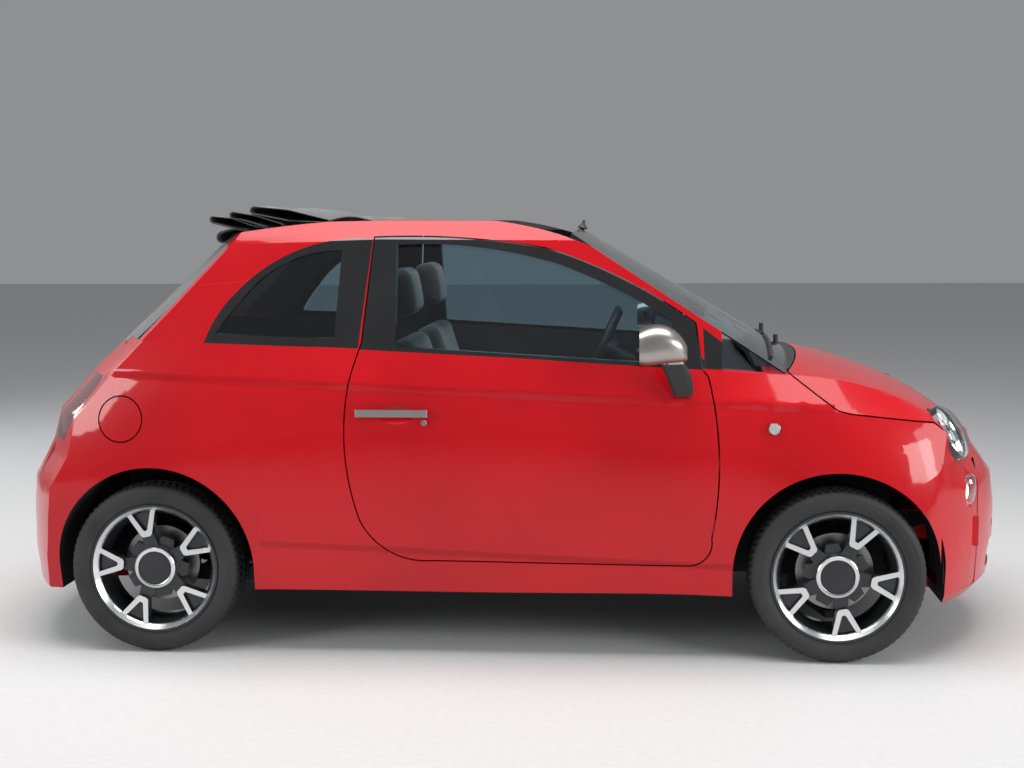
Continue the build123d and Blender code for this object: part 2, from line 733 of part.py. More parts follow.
ball_y = kingpin_low_y + ball_radius * (kingpin_top_y - kingpin_low_y) / (well_roof_z - kingpin_low_z)
front_axis = [(front_axle_x, -y, tyre_radius) for y in (carrier_y, hub_inner_y, front_wheel_y + 36)]
with BuildPart() as knuckle_right:
    add(rod(kingpin_low, kingpin_top, strut_radius))
    add(rod(on_kingpin(0.84), on_kingpin(0.97), spring_radius))
    add(rod(front_axis[0], front_axis[1], 62))
    add(rod(front_axis[0], front_axis[2], hub_bore - 2))
    with Locations((front_axle_x - 75, -carrier_y - 8, tyre_radius - 50)):
        Box(110, 20, 26)
    add(box_between(front_axle_x - 80, front_axle_x + 80, 900, well_roof_z - 3, 900), mode=Mode.SUBTRACT)
    add(box_between(front_axle_x - 80, front_axle_x + 80, 900, 100, kingpin_low_z + 8), mode=Mode.SUBTRACT)
    with Locations((front_axle_x, -ball_y, kingpin_low_z + ball_radius)):
        Sphere(ball_radius)

arm_z = kingpin_low_z - 24 - seat_gap
subframe_top_z = 220
with BuildPart() as front_subframe:
    add(box_between(front_axle_x - 130, front_axle_x + 130, wheel_well_front - 5, 168, subframe_top_z))
    with BuildSketch(Plane.XY.offset(arm_z)):
        with BuildLine():
            Polyline((front_axle_x - 26, -kingpin_low_y - 26), (front_axle_x + 26, -kingpin_low_y - 26),
                     (front_axle_x + 90, -wheel_well_front + 30), (front_axle_x - 90, -wheel_well_front + 30),
                     close=True)
        make_face()
    extrude(amount=24)
    with BuildSketch(Plane.XY.offset(arm_z)):
        with BuildLine():
            Polyline((front_axle_x + 26, kingpin_low_y + 26), (front_axle_x - 26, kingpin_low_y + 26),
                     (front_axle_x - 90, wheel_well_front - 30), (front_axle_x + 90, wheel_well_front - 30),
                     close=True)
        make_face()
    extrude(amount=24)
    add(box_between(front_axle_x - 85, front_axle_x + 85, wheel_well_front - 10, arm_z, 170))

arm_y = 581
arm_thick = 30
pivot_x = rear_axle_x + arch_radius
with BuildPart() as rear_axle:
    add(box_between(rear_axle_x + 110, rear_axle_x + 170, arm_y, 205, 262))
    for side in (1, -1):
        with Locations(((rear_axle_x - 35 + pivot_x) / 2, side * arm_y, 235)):
            Box(pivot_x - rear_axle_x + 35, arm_thick, 50)
        with Locations((rear_axle_x, side * arm_y, tyre_radius - 25)):
            Box(70, arm_thick, 130)
        add(rod((rear_axle_x, side * arm_y, tyre_radius), (rear_axle_x, side * (rear_wheel_y + 36), tyre_radius),
                hub_bore - 2))
        add(rod((rear_axle_x, side * arm_y, tyre_radius),
                (rear_axle_x, side * (rear_wheel_y + disc_y - hub_gap), tyre_radius), 52))

with BuildPart() as engine:
    with Locations((1170, 0, bay_floor_z)):
        Box(420, 620, 480, align=(Align.CENTER, Align.CENTER, Align.MIN))
    fillet(engine.edges().filter_by(Axis.Z), 40)

tank_top_z = 224
with BuildPart() as underbody:
    with Locations((-560, 0, tank_top_z)):
        Box(420, 760, 60, align=(Align.CENTER, Align.CENTER, Align.MAX))
    with Locations((300, -140, tank_top_z)):
        Box(1000, 50, 44, align=(Align.CENTER, Align.CENTER, Align.MAX))
floor_low_cut = box_between(-800, 900, 640, 200, tank_top_z)
subframe_seat = box_between(front_axle_x - 131, front_axle_x + 131, wheel_well_front + 1, 150, subframe_top_z)

# ---- cabin
seat_y = 352
seat_half = 245
with BuildPart() as seat_cushion:
    with Locations((60, -seat_y, 360)):
        Box(520, 2 * seat_half, 150, align=(Align.CENTER, Align.CENTER, Align.MIN))
    fillet(seat_cushion.edges(), 36)
with BuildPart() as seat_back:
    with Locations(Location((-175, -seat_y, 500), (0, -18, 0))):
        Box(120, 2 * seat_half - 10, 600, align=(Align.CENTER, Align.CENTER, Align.MIN))
    fillet(seat_back.edges(), 36)
with BuildPart() as headrest:
    with Locations(Location((-340, -seat_y, 1120), (0, -10, 0))):
        Box(96, 260, 190, align=(Align.CENTER, Align.CENTER, Align.MIN))
    fillet(headrest.edges(), 30)
with BuildPart() as front_seats:
    add(seat_cushion.part)
    add(seat_back.part)
    add(headrest.part)
    with Locations((20, -seat_y, floor_top_z)):
        Box(420, 400, 90, align=(Align.CENTER, Align.CENTER, Align.MIN))
    for side in (1, -1):
        with Locations(Location((-330, -seat_y + side * 60, 1050), (0, -10, 0))):
            Cylinder(7, 120, align=(Align.CENTER, Align.CENTER, Align.MIN))
    mirror(about=Plane.XZ)

with BuildPart() as rear_back:
    with Locations(Location((-920, 0, 440), (0, -14, 0))):
        Box(110, 1000, 520, align=(Align.CENTER, Align.CENTER, Align.MIN))
    fillet(rear_back.edges(), 30)
with BuildPart() as rear_seat:
    add(box_between(-960, -560, 515, boot_floor_z + seat_gap, 500))
    fillet(rear_seat.edges(), 30)
    add(rear_back.part)

with BuildPart() as dashboard:
    with BuildSketch(Plane.XZ.offset(-wall_y)):
        with BuildLine():
            Line((700, 640), (560, 720))
            ThreePointArc((560, 720), (520, 830), (580, 925))
            ThreePointArc((580, 925), (700, 962), (866, 960))
            Line((866, 960), (866, scuttle_z))
            Line((866, scuttle_z), (cabin_front_x, scuttle_z))
            Line((cabin_front_x, scuttle_z), (cabin_front_x, 640))
            Line((cabin_front_x, 640), (700, 640))
        make_face()
    extrude(amount=2 * wall_y)

wheel_centre = Vector(330, 360, 945)
column_dir = Vector(-0.92, 0, 0.39).normalized()
steering_plane = Plane(origin=wheel_centre, x_dir=(0, 1, 0), z_dir=column_dir)
steering_radius = 178
grip_radius = 14
column_length = 230
with BuildPart() as steering_wheel:
    with BuildSketch(Plane.XZ):
        with Locations((steering_radius, 0)):
            Circle(grip_radius)
    revolve(axis=Axis.Z)
    with Locations((0, 0, -30)):
        Cylinder(62, 46)
    for turn in (0, 90, 180):
        with Locations(Rot(0, 0, turn) * Pos(steering_radius / 2 + 10, 0, -16)):
            Box(steering_radius - 20, 46, 14)
steering_wheel_placed = steering_plane * Rot(0, 0, -180) * steering_wheel.part
column = steering_plane * (Pos(0, 0, -53 - seat_gap) * Cylinder(34, column_length, align=(Align.CENTER, Align.CENTER, Align.MAX)))

# ---- door mirrors and handles
# mirror head, glass side to nose side.  Each row: x, width, height, corner, z
mirror_sections = [(478, 186, 104, 44, 1060), (500, 192, 118, 50, 1063), (556, 184, 118, 52, 1068),
                   (606, 150, 84, 38, 1056), (630, 96, 44, 20, 1040)]
mirror_y = -886
with BuildPart() as mirror_right:
    for x, width, height, corner, z in mirror_sections:
        with BuildSketch(cross_plane(x)):
            with Locations((mirror_y, z)):
                RectangleRounded(width, height, corner)
    loft()
    with BuildSketch(Plane.XY.offset(1020)):
        with Locations((575, -856)):
            RectangleRounded(76, 56, 20)
    with BuildSketch(Plane.XY.offset(940)):
        with Locations((612, -822)):
            RectangleRounded(80, 50, 20)
    with BuildSketch(Plane.XY.offset(890)):
        with Locations((622, -798)):
            RectangleRounded(60, 40, 16)
    loft()

handle_x = -340
handle_z = 831
with BuildPart() as door_handle_right:
    with Locations((handle_x, -822, handle_z)):
        Box(244, 12, 24)
    fillet(door_handle_right.edges().filter_by(Axis.Z), 5)
    for end in (1, -1):
        with Locations((handle_x + end * 104, -808, handle_z)):
            Box(20, 20, 18)

pivot_x_wiper = 985
blade_thick = 8
blade_width = 12
blades = [(12, -600, -70), (12, 20, 560)]
with BuildPart() as wipers:
    for along, y_from, y_to in blades:
        half, bow = screen_shape(along)
        strip = bowed_band(along, half, bow, blade_thick)
        blade = Pos(*(rake_normal * (blade_thick + seat_gap))) * extrude(strip, amount=blade_width, mode=Mode.PRIVATE)
        reach = Pos(950, (y_from + y_to) / 2, 1000) * Box(300, y_to - y_from, 300, mode=Mode.PRIVATE)
        add(blade & reach)
        add(rod((pivot_x_wiper, y_to - 20, 960), (pivot_x_wiper, y_to - 20, 1042), 9))
    add(windscreen.part, mode=Mode.SUBTRACT)
    add(cowl.part, mode=Mode.SUBTRACT)
    add(hull.part, mode=Mode.SUBTRACT)


# ---- fuel flap on the right, with its pocket
flap_x = -1271
flap_z = 802
flap_radius = 75
flap_depth = 14
flap_pocket_y = 715
flap_at = Pos(flap_x, -flap_pocket_y, flap_z) * Rot(90, 0, 0)
flap_block = flap_at * Cylinder(flap_radius, 150, align=(Align.CENTER, Align.CENTER, Align.MIN))
flap_pocket = flap_at * Cylinder(flap_radius + panel_gap, 150, align=(Align.CENTER, Align.CENTER, Align.MIN))
with BuildPart() as fuel_flap:
    add(hull.part)
    add(flap_block, mode=Mode.INTERSECT)
    add(Pos(0, flap_depth, 0) * hull.part, mode=Mode.SUBTRACT)

# ---- pads in the shut gaps: door hinges, bonnet buffers, boot stops, flap hinge.  Each row:
# x_from, x_to, z_from, z_to
door_pads = [(690, 770, 430, 480), (690, 770, 640, 690)]
door_rim = slab(outline(door_sketch.sketch, panel_gap + 1) - outline(door_sketch.sketch, seat_gap), 700, 790)
flap_rim = flap_pocket - flap_at * Cylinder(flap_radius + seat_gap, 150,
                                            align=(Align.CENTER, Align.CENTER, Align.MIN))
with BuildPart() as side_pads:
    for x_from, x_to, z_from, z_to in door_pads:
        add(door_rim & box_between(x_from, x_to, outer_y, z_from, z_to))
flap_pad = flap_rim & box_between(-1200, -1180, 775, 785, 819)
buffer_x, buffer_y, buffer_radius = 1400, 450, 12
hull_buffer = Pos(0, 0, -bonnet_depth - seat_gap) * hull.part
with BuildPart() as buffers:
    for side in (1, -1):
        with Locations((buffer_x, side * buffer_y, 640)):
            Cylinder(buffer_radius, 260, align=(Align.CENTER, Align.CENTER, Align.MIN))
    add(hull_buffer, mode=Mode.INTERSECT)
stop_y, stop_half = 200, 20
boot_stops = box_between(-1720, -1600, stop_y + stop_half, seam_tail[-1][1], boot_lid_low_z - seat_gap) - box_between(
    -1720, -1600, stop_y - stop_half, 700, boot_lid_low_z)
boot_stops = (boot_stops & hull.part) - hull_fore

# ---- interfaces: jacking pads and tow-eye sockets
jack_x, jack_y, jack_z = 560, 650, 210
tow_y, tow_z, tow_radius, tow_length = 300, 385, 8, 40
tow_seat_depth, tow_seat_radius = 30, 18
with BuildPart() as jack_pads:
    with Locations([(end * jack_x, side * jack_y, jack_z) for end in (1, -1) for side in (1, -1)]):
        Box(90, 60, 30, align=(Align.CENTER, Align.CENTER, Align.MIN))


def tow_socket(x_face, way):
    """Tow-eye socket with its round seat, sunk from a station near the nose (way 1) or the tail (way -1)."""
    with BuildPart() as socket:
        for radius, depth in ((tow_seat_radius, tow_seat_depth), (tow_radius, tow_seat_depth + tow_length)):
            with Locations(Location((x_face - way * depth, -way * tow_y, tow_z), (0, 90 * way, 0))):
                Cylinder(radius, depth + 200, align=(Align.CENTER, Align.CENTER, Align.MIN))
    return socket.part


# ---- both sides put together
with BuildPart() as front_wings:
    add(wing_right.part)
    add(head_seat, mode=Mode.SUBTRACT)
    mirror(about=Plane.XZ)
with BuildPart() as bonnet_cut:
    add(bonnet.part)
    add(head_clear, mode=Mode.SUBTRACT)
    add(head_clear.mirror(Plane.XZ), mode=Mode.SUBTRACT)
grille_half, grille_low, grille_high, grille_back = 380, 236, 336, 1694
slat_thick, slat_count = 9, 3
with BuildSketch(Plane.YZ.offset(grille_back)) as intake_sketch:
    with Locations((0, (grille_low + grille_high) / 2)):
        RectangleRounded(2 * grille_half, grille_high - grille_low, 40)
intake = extrude(intake_sketch.sketch, amount=200, mode=Mode.PRIVATE)
with BuildPart() as front_grille:
    extrude(intake_sketch.sketch, amount=6)
    for k in range(slat_count):
        slat_z = grille_low + (grille_high - grille_low) * (k + 1) / (slat_count + 1)
        add(box_between(grille_back, 1850, grille_half, slat_z - slat_thick / 2, slat_z + slat_thick / 2)
            & intake & (Pos(-16, 0, 0) * hull.part))

tow_face_front = 1725
tow_face_rear = -1735
with BuildPart() as rear_bumper_cut:
    add(rear_bumper.part)
    add(tow_socket(tow_face_rear, -1), mode=Mode.SUBTRACT)
with BuildPart() as tail_with_stops:
    add(tail_panel.part)
    add(boot_stops)
with BuildPart() as bumper_cut:
    add(front_bumper.part)
    add(intake, mode=Mode.SUBTRACT)
    add(tow_socket(tow_face_front, 1), mode=Mode.SUBTRACT)
    for seat in (head_seat, day_seat):
        add(seat, mode=Mode.SUBTRACT)
        add(seat.mirror(Plane.XZ), mode=Mode.SUBTRACT)
with BuildPart() as floor_cut:
    add(floor_pan.part)
    add(floor_low_cut, mode=Mode.SUBTRACT)
    add(subframe_seat, mode=Mode.SUBTRACT)
    add(head_seat, mode=Mode.SUBTRACT)
    add(head_seat.mirror(Plane.XZ), mode=Mode.SUBTRACT)
    add(buffers.part)
    add(jack_pads.part)
with BuildPart() as headlamps:
    add(lamp_body(lamp_plane, lamp_radius, lamp_dome, lamp_depth))
    mirror(about=Plane.XZ)
with BuildPart() as day_lamps:
    add(lamp_body(day_plane, day_radius, day_dome, day_depth))
    mirror(about=Plane.XZ)
with BuildPart() as tail_lamps:
    add(tail_lamp_right.part)
    mirror(about=Plane.XZ)
with BuildPart() as body_side_right:
    add(side_right.part)
    add(skirt_right.part)
    add(floor_cut.part, mode=Mode.SUBTRACT)
    add(black_zone, mode=Mode.SUBTRACT)
    add(side_pads.part)
with BuildPart() as body_side_left:
    add(body_side_right.part)
    mirror(about=Plane.XZ, mode=Mode.REPLACE)
with BuildPart() as body_side_flap:
    add(body_side_right.part)
    add(flap_pocket, mode=Mode.SUBTRACT)
    add(flap_pad)
with BuildPart() as dash_with_column:
    add(dashboard.part)
    add(column)
with BuildPart() as rear_glass:
    add(rear_window.part)
    add(quarter_glass.part)
with BuildPart() as door_shell_right:
    add(door_right.part)
    add(door_upper, mode=Mode.SUBTRACT)
with BuildPart() as door_trim_right:
    add(mirror_right.part)
    add(door_handle_right.part)
    add(door_right.part, mode=Mode.SUBTRACT)
    add(door_surround_right.part)
with BuildPart() as cowl_and_wipers:
    add(cowl.part)
    add(wipers.part)
with BuildPart() as side_surrounds:
    add(side_surround_right.part)
    add(floor_cut.part, mode=Mode.SUBTRACT)
    mirror(about=Plane.XZ)
with BuildPart() as lamps_front:
    add(headlamps.part)
    add(day_lamps.part)

pieces = {
    "floor_pan": floor_cut.part,
    "body_side_right": body_side_flap.part,
    "body_side_left": body_side_left.part,
    "front_wings": front_wings.part,
    "front_bumper": bumper_cut.part,
    "rear_bumper": rear_bumper_cut.part,
    "tail_panel": tail_with_stops.part,
    "cowl": cowl_and_wipers.part,
    "windscreen": windscreen.part,
    "windscreen_header": header.part,
    "folded_roof": folded_roof.part,
    "rear_canvas": rear_canvas.part,
    "rear_glass": rear_glass.part,
    "front_grille": front_grille.part,
    "side_surrounds": side_surrounds.part,
    "headlamps": lamps_front.part,
    "tail_lamps": tail_lamps.part,
    "dashboard": dash_with_column.part,
    "front_seats": front_seats.part,
    "rear_seat": rear_seat.part,
    "engine": engine.part,
    "underbody": underbody.part,
    "front_subframe": front_subframe.part,
    "rear_axle": rear_axle.part,
    "bonnet": bonnet_cut.part,
    "boot_lid": boot_lid.part,
    "fuel_flap": fuel_flap.part,
    "steering_wheel": steering_wheel_placed,
}
for piece, name in ((door_shell_right, "door"), (door_glass_right, "door_glass"), (door_trim_right, "door_trim"),
                    (knuckle_right, "knuckle")):
    pieces[name + "_right"] = piece.part
    pieces[name + "_left"] = piece.part.mirror(Plane.XZ)
# wheels stand as they stopped.  Each row: end, x, y, spoke_turn
for end, x, y, spoke_turn in (("front", front_axle_x, front_wheel_y, 8.5), ("rear", rear_axle_x, rear_wheel_y, 41)):
    for side, sign in (("left", 1), ("right", -1)):
        for name, piece in (("rim", rim), ("tyre", tyre)):
            turned = piece.part if sign > 0 else piece.part.mirror(Plane.XZ)
            pieces[f"{name}_{end}_{side}"] = Pos(x, sign * y, tyre_radius) * Rot(0, spoke_turn, 0) * turned

for name, piece in pieces.items():
    piece.label = name
    export_step(piece, f"parts/{name}.step")
    box = piece.bounding_box()
    print(name, round(piece.volume / 1e9, 5), piece.is_valid, len(piece.solids()),
          [round(v) for v in (*box.min, *box.max)])
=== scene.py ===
import bpy
import math
from mathutils import Vector, Matrix, Euler
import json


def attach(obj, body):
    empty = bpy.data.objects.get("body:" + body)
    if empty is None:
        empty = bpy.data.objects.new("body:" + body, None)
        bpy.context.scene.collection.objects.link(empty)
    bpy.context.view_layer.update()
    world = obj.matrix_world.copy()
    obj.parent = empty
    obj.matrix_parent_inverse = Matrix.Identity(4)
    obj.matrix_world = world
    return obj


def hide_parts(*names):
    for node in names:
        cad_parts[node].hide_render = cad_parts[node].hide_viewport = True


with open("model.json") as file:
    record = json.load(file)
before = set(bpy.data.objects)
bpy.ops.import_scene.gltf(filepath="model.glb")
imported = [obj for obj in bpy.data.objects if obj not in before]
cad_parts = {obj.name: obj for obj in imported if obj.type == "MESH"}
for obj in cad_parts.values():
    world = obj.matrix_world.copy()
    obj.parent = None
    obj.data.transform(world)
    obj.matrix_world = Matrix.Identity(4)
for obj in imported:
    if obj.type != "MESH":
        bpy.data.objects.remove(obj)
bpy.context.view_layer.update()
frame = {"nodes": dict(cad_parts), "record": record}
nodes = frame["nodes"]
scene = bpy.context.scene
print("frame loaded")


# ---- small helpers
# points nearer than this are made one: on a copied panel, and on a turned mesh
weldNear = 0.00002
mergeNear = 0.00001


def only(obj):
    bpy.ops.object.select_all(action="DESELECT")
    obj.select_set(True)
    bpy.context.view_layer.objects.active = obj
    return obj


def newMaterial(name):
    mat = bpy.data.materials.new(name)
    mat.use_nodes = True
    tree = mat.node_tree
    shader = tree.nodes["Principled BSDF"]
    return mat, tree, shader


def colourRamp(tree, stops):
    ramp = tree.nodes.new("ShaderNodeValToRGB")
    while len(ramp.color_ramp.elements) < len(stops):
        ramp.color_ramp.elements.new(0.5)
    for element, (place, colour) in zip(ramp.color_ramp.elements, stops):
        element.position = place
        element.color = (*colour, 1)
    return ramp


def objectNoise(tree, scale, detail=3.0, roughness=0.5):
    coords = tree.nodes.new("ShaderNodeTexCoord")
    noise = tree.nodes.new("ShaderNodeTexNoise")
    noise.inputs["Scale"].default_value = scale
    noise.inputs["Detail"].default_value = detail
    noise.inputs["Roughness"].default_value = roughness
    tree.links.new(coords.outputs["Object"], noise.inputs["Vector"])
    return noise


def addBump(tree, shader, source, strength, distance):
    bump = tree.nodes.new("ShaderNodeBump")
    bump.inputs["Strength"].default_value = strength
    bump.inputs["Distance"].default_value = distance
    tree.links.new(source, bump.inputs["Height"])
    tree.links.new(bump.outputs["Normal"], shader.inputs["Normal"])
    return bump


def mapRange(tree, source, low, high):
    node = tree.nodes.new("ShaderNodeMapRange")
    node.inputs["To Min"].default_value = low
    node.inputs["To Max"].default_value = high
    tree.links.new(source, node.inputs["Value"])
    return node


def mathNode(tree, kind, first, second=0.0, third=0.0):
    node = tree.nodes.new("ShaderNodeMath")
    node.operation = kind
    for place, value in enumerate((first, second, third)):
        if isinstance(value, (int, float)):
            node.inputs[place].default_value = value
        else:
            tree.links.new(value, node.inputs[place])
    return node.outputs[0]


# ---- materials
# pressed lines in the body's sides: height at x = 0, slope along x, half width, depth, first x, last x
pressings = {"shoulder": (0.8935, -0.045, 0.014, 0.0042, -1.30, 1.12),
             "sill": (0.3515, -0.0403, 0.011, 0.0070, -0.80, 0.80)}
handleDent = {"x": -0.325, "z": 0.822, "wide": 0.062, "tall": 0.030, "depth": 0.011}


def sideRelief(tree):
    coords = tree.nodes.new("ShaderNodeTexCoord")
    split = tree.nodes.new("ShaderNodeSeparateXYZ")
    tree.links.new(coords.outputs["Object"], split.inputs[0])
    x, z = split.outputs["X"], split.outputs["Z"]
    side = mathNode(tree, "GREATER_THAN", mathNode(tree, "ABSOLUTE", split.outputs["Y"]), 0.66)
    total = 0.0
    for level, slope, width, depth, start, end in pressings.values():
        line = mathNode(tree, "MULTIPLY_ADD", x, slope, level)
        away = mathNode(tree, "DIVIDE", mathNode(tree, "SUBTRACT", z, line), width)
        step = mathNode(tree, "SMOOTH_MIN", mathNode(tree, "SMOOTH_MAX", away, -1.0, 0.6), 1.0, 0.6)
        inside = mathNode(tree, "MULTIPLY", mathNode(tree, "GREATER_THAN", x, start),
                          mathNode(tree, "LESS_THAN", x, end))
        total = mathNode(tree, "MULTIPLY_ADD", mathNode(tree, "MULTIPLY", step, depth), inside, total)
    across = mathNode(tree, "DIVIDE", mathNode(tree, "SUBTRACT", x, handleDent["x"]), handleDent["wide"])
    up = mathNode(tree, "DIVIDE", mathNode(tree, "SUBTRACT", z, handleDent["z"]), handleDent["tall"])
    reach = mathNode(tree, "ADD", mathNode(tree, "MULTIPLY", across, across),
                     mathNode(tree, "MULTIPLY", up, up))
    dish = mathNode(tree, "MAXIMUM", mathNode(tree, "SUBTRACT", 1.0, reach), 0.0)
    total = mathNode(tree, "SUBTRACT", total, mathNode(tree, "MULTIPLY", dish, handleDent["depth"]))
    return mathNode(tree, "MULTIPLY", total, side)


def makePaint():
    mat, tree, shader = newMaterial("redPaint")
    flake = objectNoise(tree, 900, 1)
    drift = objectNoise(tree, 2.2, 2)
    ramp = colourRamp(tree, [(0.35, (0.47, 0.002, 0.007)), (0.65, (0.54, 0.003, 0.009))])
    tree.links.new(drift.outputs["Fac"], ramp.inputs["Fac"])
    tree.links.new(ramp.outputs["Color"], shader.inputs["Base Color"])
    rough = mapRange(tree, flake.outputs["Fac"], 0.26, 0.40)
    tree.links.new(rough.outputs["Result"], shader.inputs["Roughness"])
    shader.inputs["Specular IOR Level"].default_value = 0.12
    shader.inputs["Coat Weight"].default_value = 0.6
    shader.inputs["Coat Roughness"].default_value = 0.05
    peel = objectNoise(tree, 160, 1)
    addBump(tree, shader, peel.outputs["Fac"], 0.012, 0.001)
    relief = tree.nodes.new("ShaderNodeBump")
    relief.inputs["Distance"].default_value = 1.0
    tree.links.new(sideRelief(tree), relief.inputs["Height"])
    finest = shader.inputs["Normal"].links[0].from_node
    tree.links.new(relief.outputs["Normal"], finest.inputs["Normal"])
    tree.links.new(finest.outputs["Normal"], shader.inputs["Coat Normal"])
    return mat


def makeGrained(name, colour, rough, scale=700, strength=0.25, metallic=0.0, coat=0.0, spread=0.25):
    mat, tree, shader = newMaterial(name)
    grain = objectNoise(tree, scale, 2)
    tone = objectNoise(tree, 6, 3)
    dark = tuple(c * (1 - spread) for c in colour)
    light = tuple(min(c * (1 + spread), 1) for c in colour)
    ramp = colourRamp(tree, [(0.3, dark), (0.7, light)])
    tree.links.new(tone.outputs["Fac"], ramp.inputs["Fac"])
    tree.links.new(ramp.outputs["Color"], shader.inputs["Base Color"])
    roughMap = mapRange(tree, grain.outputs["Fac"], rough * 0.85, min(rough * 1.15, 1))
    tree.links.new(roughMap.outputs["Result"], shader.inputs["Roughness"])
    shader.inputs["Metallic"].default_value = metallic
    shader.inputs["Coat Weight"].default_value = coat
    shader.inputs["Coat Roughness"].default_value = 0.04
    addBump(tree, shader, grain.outputs["Fac"], strength, 0.0006)
    return mat


def makeWeave(name, colour, threads=900, strength=0.5, rough=0.85, sheen=0.25):
    mat, tree, shader = newMaterial(name)
    coords = tree.nodes.new("ShaderNodeTexCoord")
    heights = []
    for axis in ("X", "Y", "Z"):
        wave = tree.nodes.new("ShaderNodeTexWave")
        wave.bands_direction = axis
        wave.inputs["Scale"].default_value = threads / 6.3
        wave.inputs["Distortion"].default_value = 0.6
        wave.inputs["Detail Scale"].default_value = 3
        tree.links.new(coords.outputs["Object"], wave.inputs["Vector"])
        heights.append(wave)
    mix = tree.nodes.new("ShaderNodeMath")
    mix.operation = "MULTIPLY"
    tree.links.new(heights[0].outputs["Fac"], mix.inputs[0])
    tree.links.new(heights[1].outputs["Fac"], mix.inputs[1])
    total = tree.nodes.new("ShaderNodeMath")
    total.operation = "ADD"
    tree.links.new(mix.outputs["Value"], total.inputs[0])
    tree.links.new(heights[2].outputs["Fac"], total.inputs[1])
    fade = objectNoise(tree, 14, 4)
    dark = tuple(c * 0.7 for c in colour)
    light = tuple(min(c * 1.35, 1) for c in colour)
    ramp = colourRamp(tree, [(0.25, dark), (0.75, light)])
    tree.links.new(fade.outputs["Fac"], ramp.inputs["Fac"])
    tree.links.new(ramp.outputs["Color"], shader.inputs["Base Color"])
    shader.inputs["Roughness"].default_value = rough
    shader.inputs["Sheen Weight"].default_value = sheen
    shader.inputs["Sheen Roughness"].default_value = 0.5
    addBump(tree, shader, total.outputs["Value"], strength, 0.0005)
    return mat


def makeGlass(name, tint, rough=0.0, smudge=0.02):
    mat, tree, shader = newMaterial(name)
    shader.inputs["Base Color"].default_value = (*tint, 1)
    shader.inputs["Transmission Weight"].default_value = 1.0
    shader.inputs["IOR"].default_value = 1.45
    noise = objectNoise(tree, 9, 4)
    smear = mapRange(tree, noise.outputs["Fac"], rough, rough + smudge)
    tree.links.new(smear.outputs["Result"], shader.inputs["Roughness"])
    return mat


def makeGlow(name, colour, strength):
    mat, tree, shader = newMaterial(name)
    noise = objectNoise(tree, 120, 2)
    ramp = colourRamp(tree, [(0.3, tuple(c * 0.92 for c in colour)), (0.7, colour)])
    tree.links.new(noise.outputs["Fac"], ramp.inputs["Fac"])
    tree.links.new(ramp.outputs["Color"], shader.inputs["Base Color"])
    tree.links.new(ramp.outputs["Color"], shader.inputs["Emission Color"])
    shader.inputs["Emission Strength"].default_value = strength
    return mat


def makeRubber():
    mat, tree, shader = newMaterial("tyreRubber")
    grain = objectNoise(tree, 500, 3)
    dust = objectNoise(tree, 5, 4)
    ramp = colourRamp(tree, [(0.35, (0.014, 0.014, 0.015)), (0.75, (0.034, 0.033, 0.032))])
    tree.links.new(dust.outputs["Fac"], ramp.inputs["Fac"])
    tree.links.new(ramp.outputs["Color"], shader.inputs["Base Color"])
    rough = mapRange(tree, grain.outputs["Fac"], 0.55, 0.8)
    tree.links.new(rough.outputs["Result"], shader.inputs["Roughness"])
    addBump(tree, shader, grain.outputs["Fac"], 0.2, 0.0005)
    return mat


def makeBrushed(name, colour, rough, metallic=1.0):
    mat, tree, shader = newMaterial(name)
    coords = tree.nodes.new("ShaderNodeTexCoord")
    stretch = tree.nodes.new("ShaderNodeMapping")
    stretch.inputs["Scale"].default_value = (20, 900, 900)
    noise = tree.nodes.new("ShaderNodeTexNoise")
    noise.inputs["Scale"].default_value = 1.0
    noise.inputs["Detail"].default_value = 3
    tree.links.new(coords.outputs["Object"], stretch.inputs["Vector"])
    tree.links.new(stretch.outputs["Vector"], noise.inputs["Vector"])
    ramp = colourRamp(tree, [(0.3, tuple(c * 0.88 for c in colour)), (0.7, colour)])
    tree.links.new(noise.outputs["Fac"], ramp.inputs["Fac"])
    tree.links.new(ramp.outputs["Color"], shader.inputs["Base Color"])
    roughMap = mapRange(tree, noise.outputs["Fac"], rough * 0.8, rough * 1.2)
    tree.links.new(roughMap.outputs["Result"], shader.inputs["Roughness"])
    shader.inputs["Metallic"].default_value = metallic
    addBump(tree, shader, noise.outputs["Fac"], 0.05, 0.0003)
    return mat


redPaint = makePaint()
blackPlastic = makeGrained("blackPlastic", (0.022, 0.022, 0.024), 0.55, 900, 0.3)
blackGloss = makeGrained("blackGloss", (0.010, 0.010, 0.011), 0.22, 300, 0.03, coat=0.6)
linerFelt = makeGrained("linerFelt", (0.012, 0.012, 0.013), 0.92, 260, 0.6)
underCoat = makeGrained("underCoat", (0.022, 0.022, 0.023), 0.8, 180, 0.5)
carpet = makeGrained("carpet", (0.020, 0.020, 0.022), 0.98, 420, 0.9)
doorCard = makeGrained("doorCard", (0.035, 0.035, 0.038), 0.6, 650, 0.35)
dashSkin = makeGrained("dashSkin", (0.028, 0.028, 0.031), 0.55, 800, 0.35)
satinTitanium = makeGrained("satinTitanium", (0.40, 0.375, 0.35), 0.32, 1200, 0.04, metallic=0.9, coat=0.3,
                            spread=0.05)
machinedFace = makeBrushed("machinedFace", (0.80, 0.80, 0.81), 0.24)
wheelBlack = makeGrained("wheelBlack", (0.020, 0.022, 0.027), 0.34, 500, 0.05, metallic=0.35, coat=0.5)
discSteel = makeBrushed("discSteel", (0.34, 0.33, 0.32), 0.38)
chrome = makeBrushed("chromeTrim", (0.82, 0.83, 0.84), 0.07)
roofCloth = makeWeave("roofCloth", (0.020, 0.020, 0.023), 900, 0.35, 0.78, 0.35)
seatCloth = makeWeave("seatCloth", (0.024, 0.024, 0.027), 500, 0.5, 0.9, 0.4)
rubber = makeRubber()
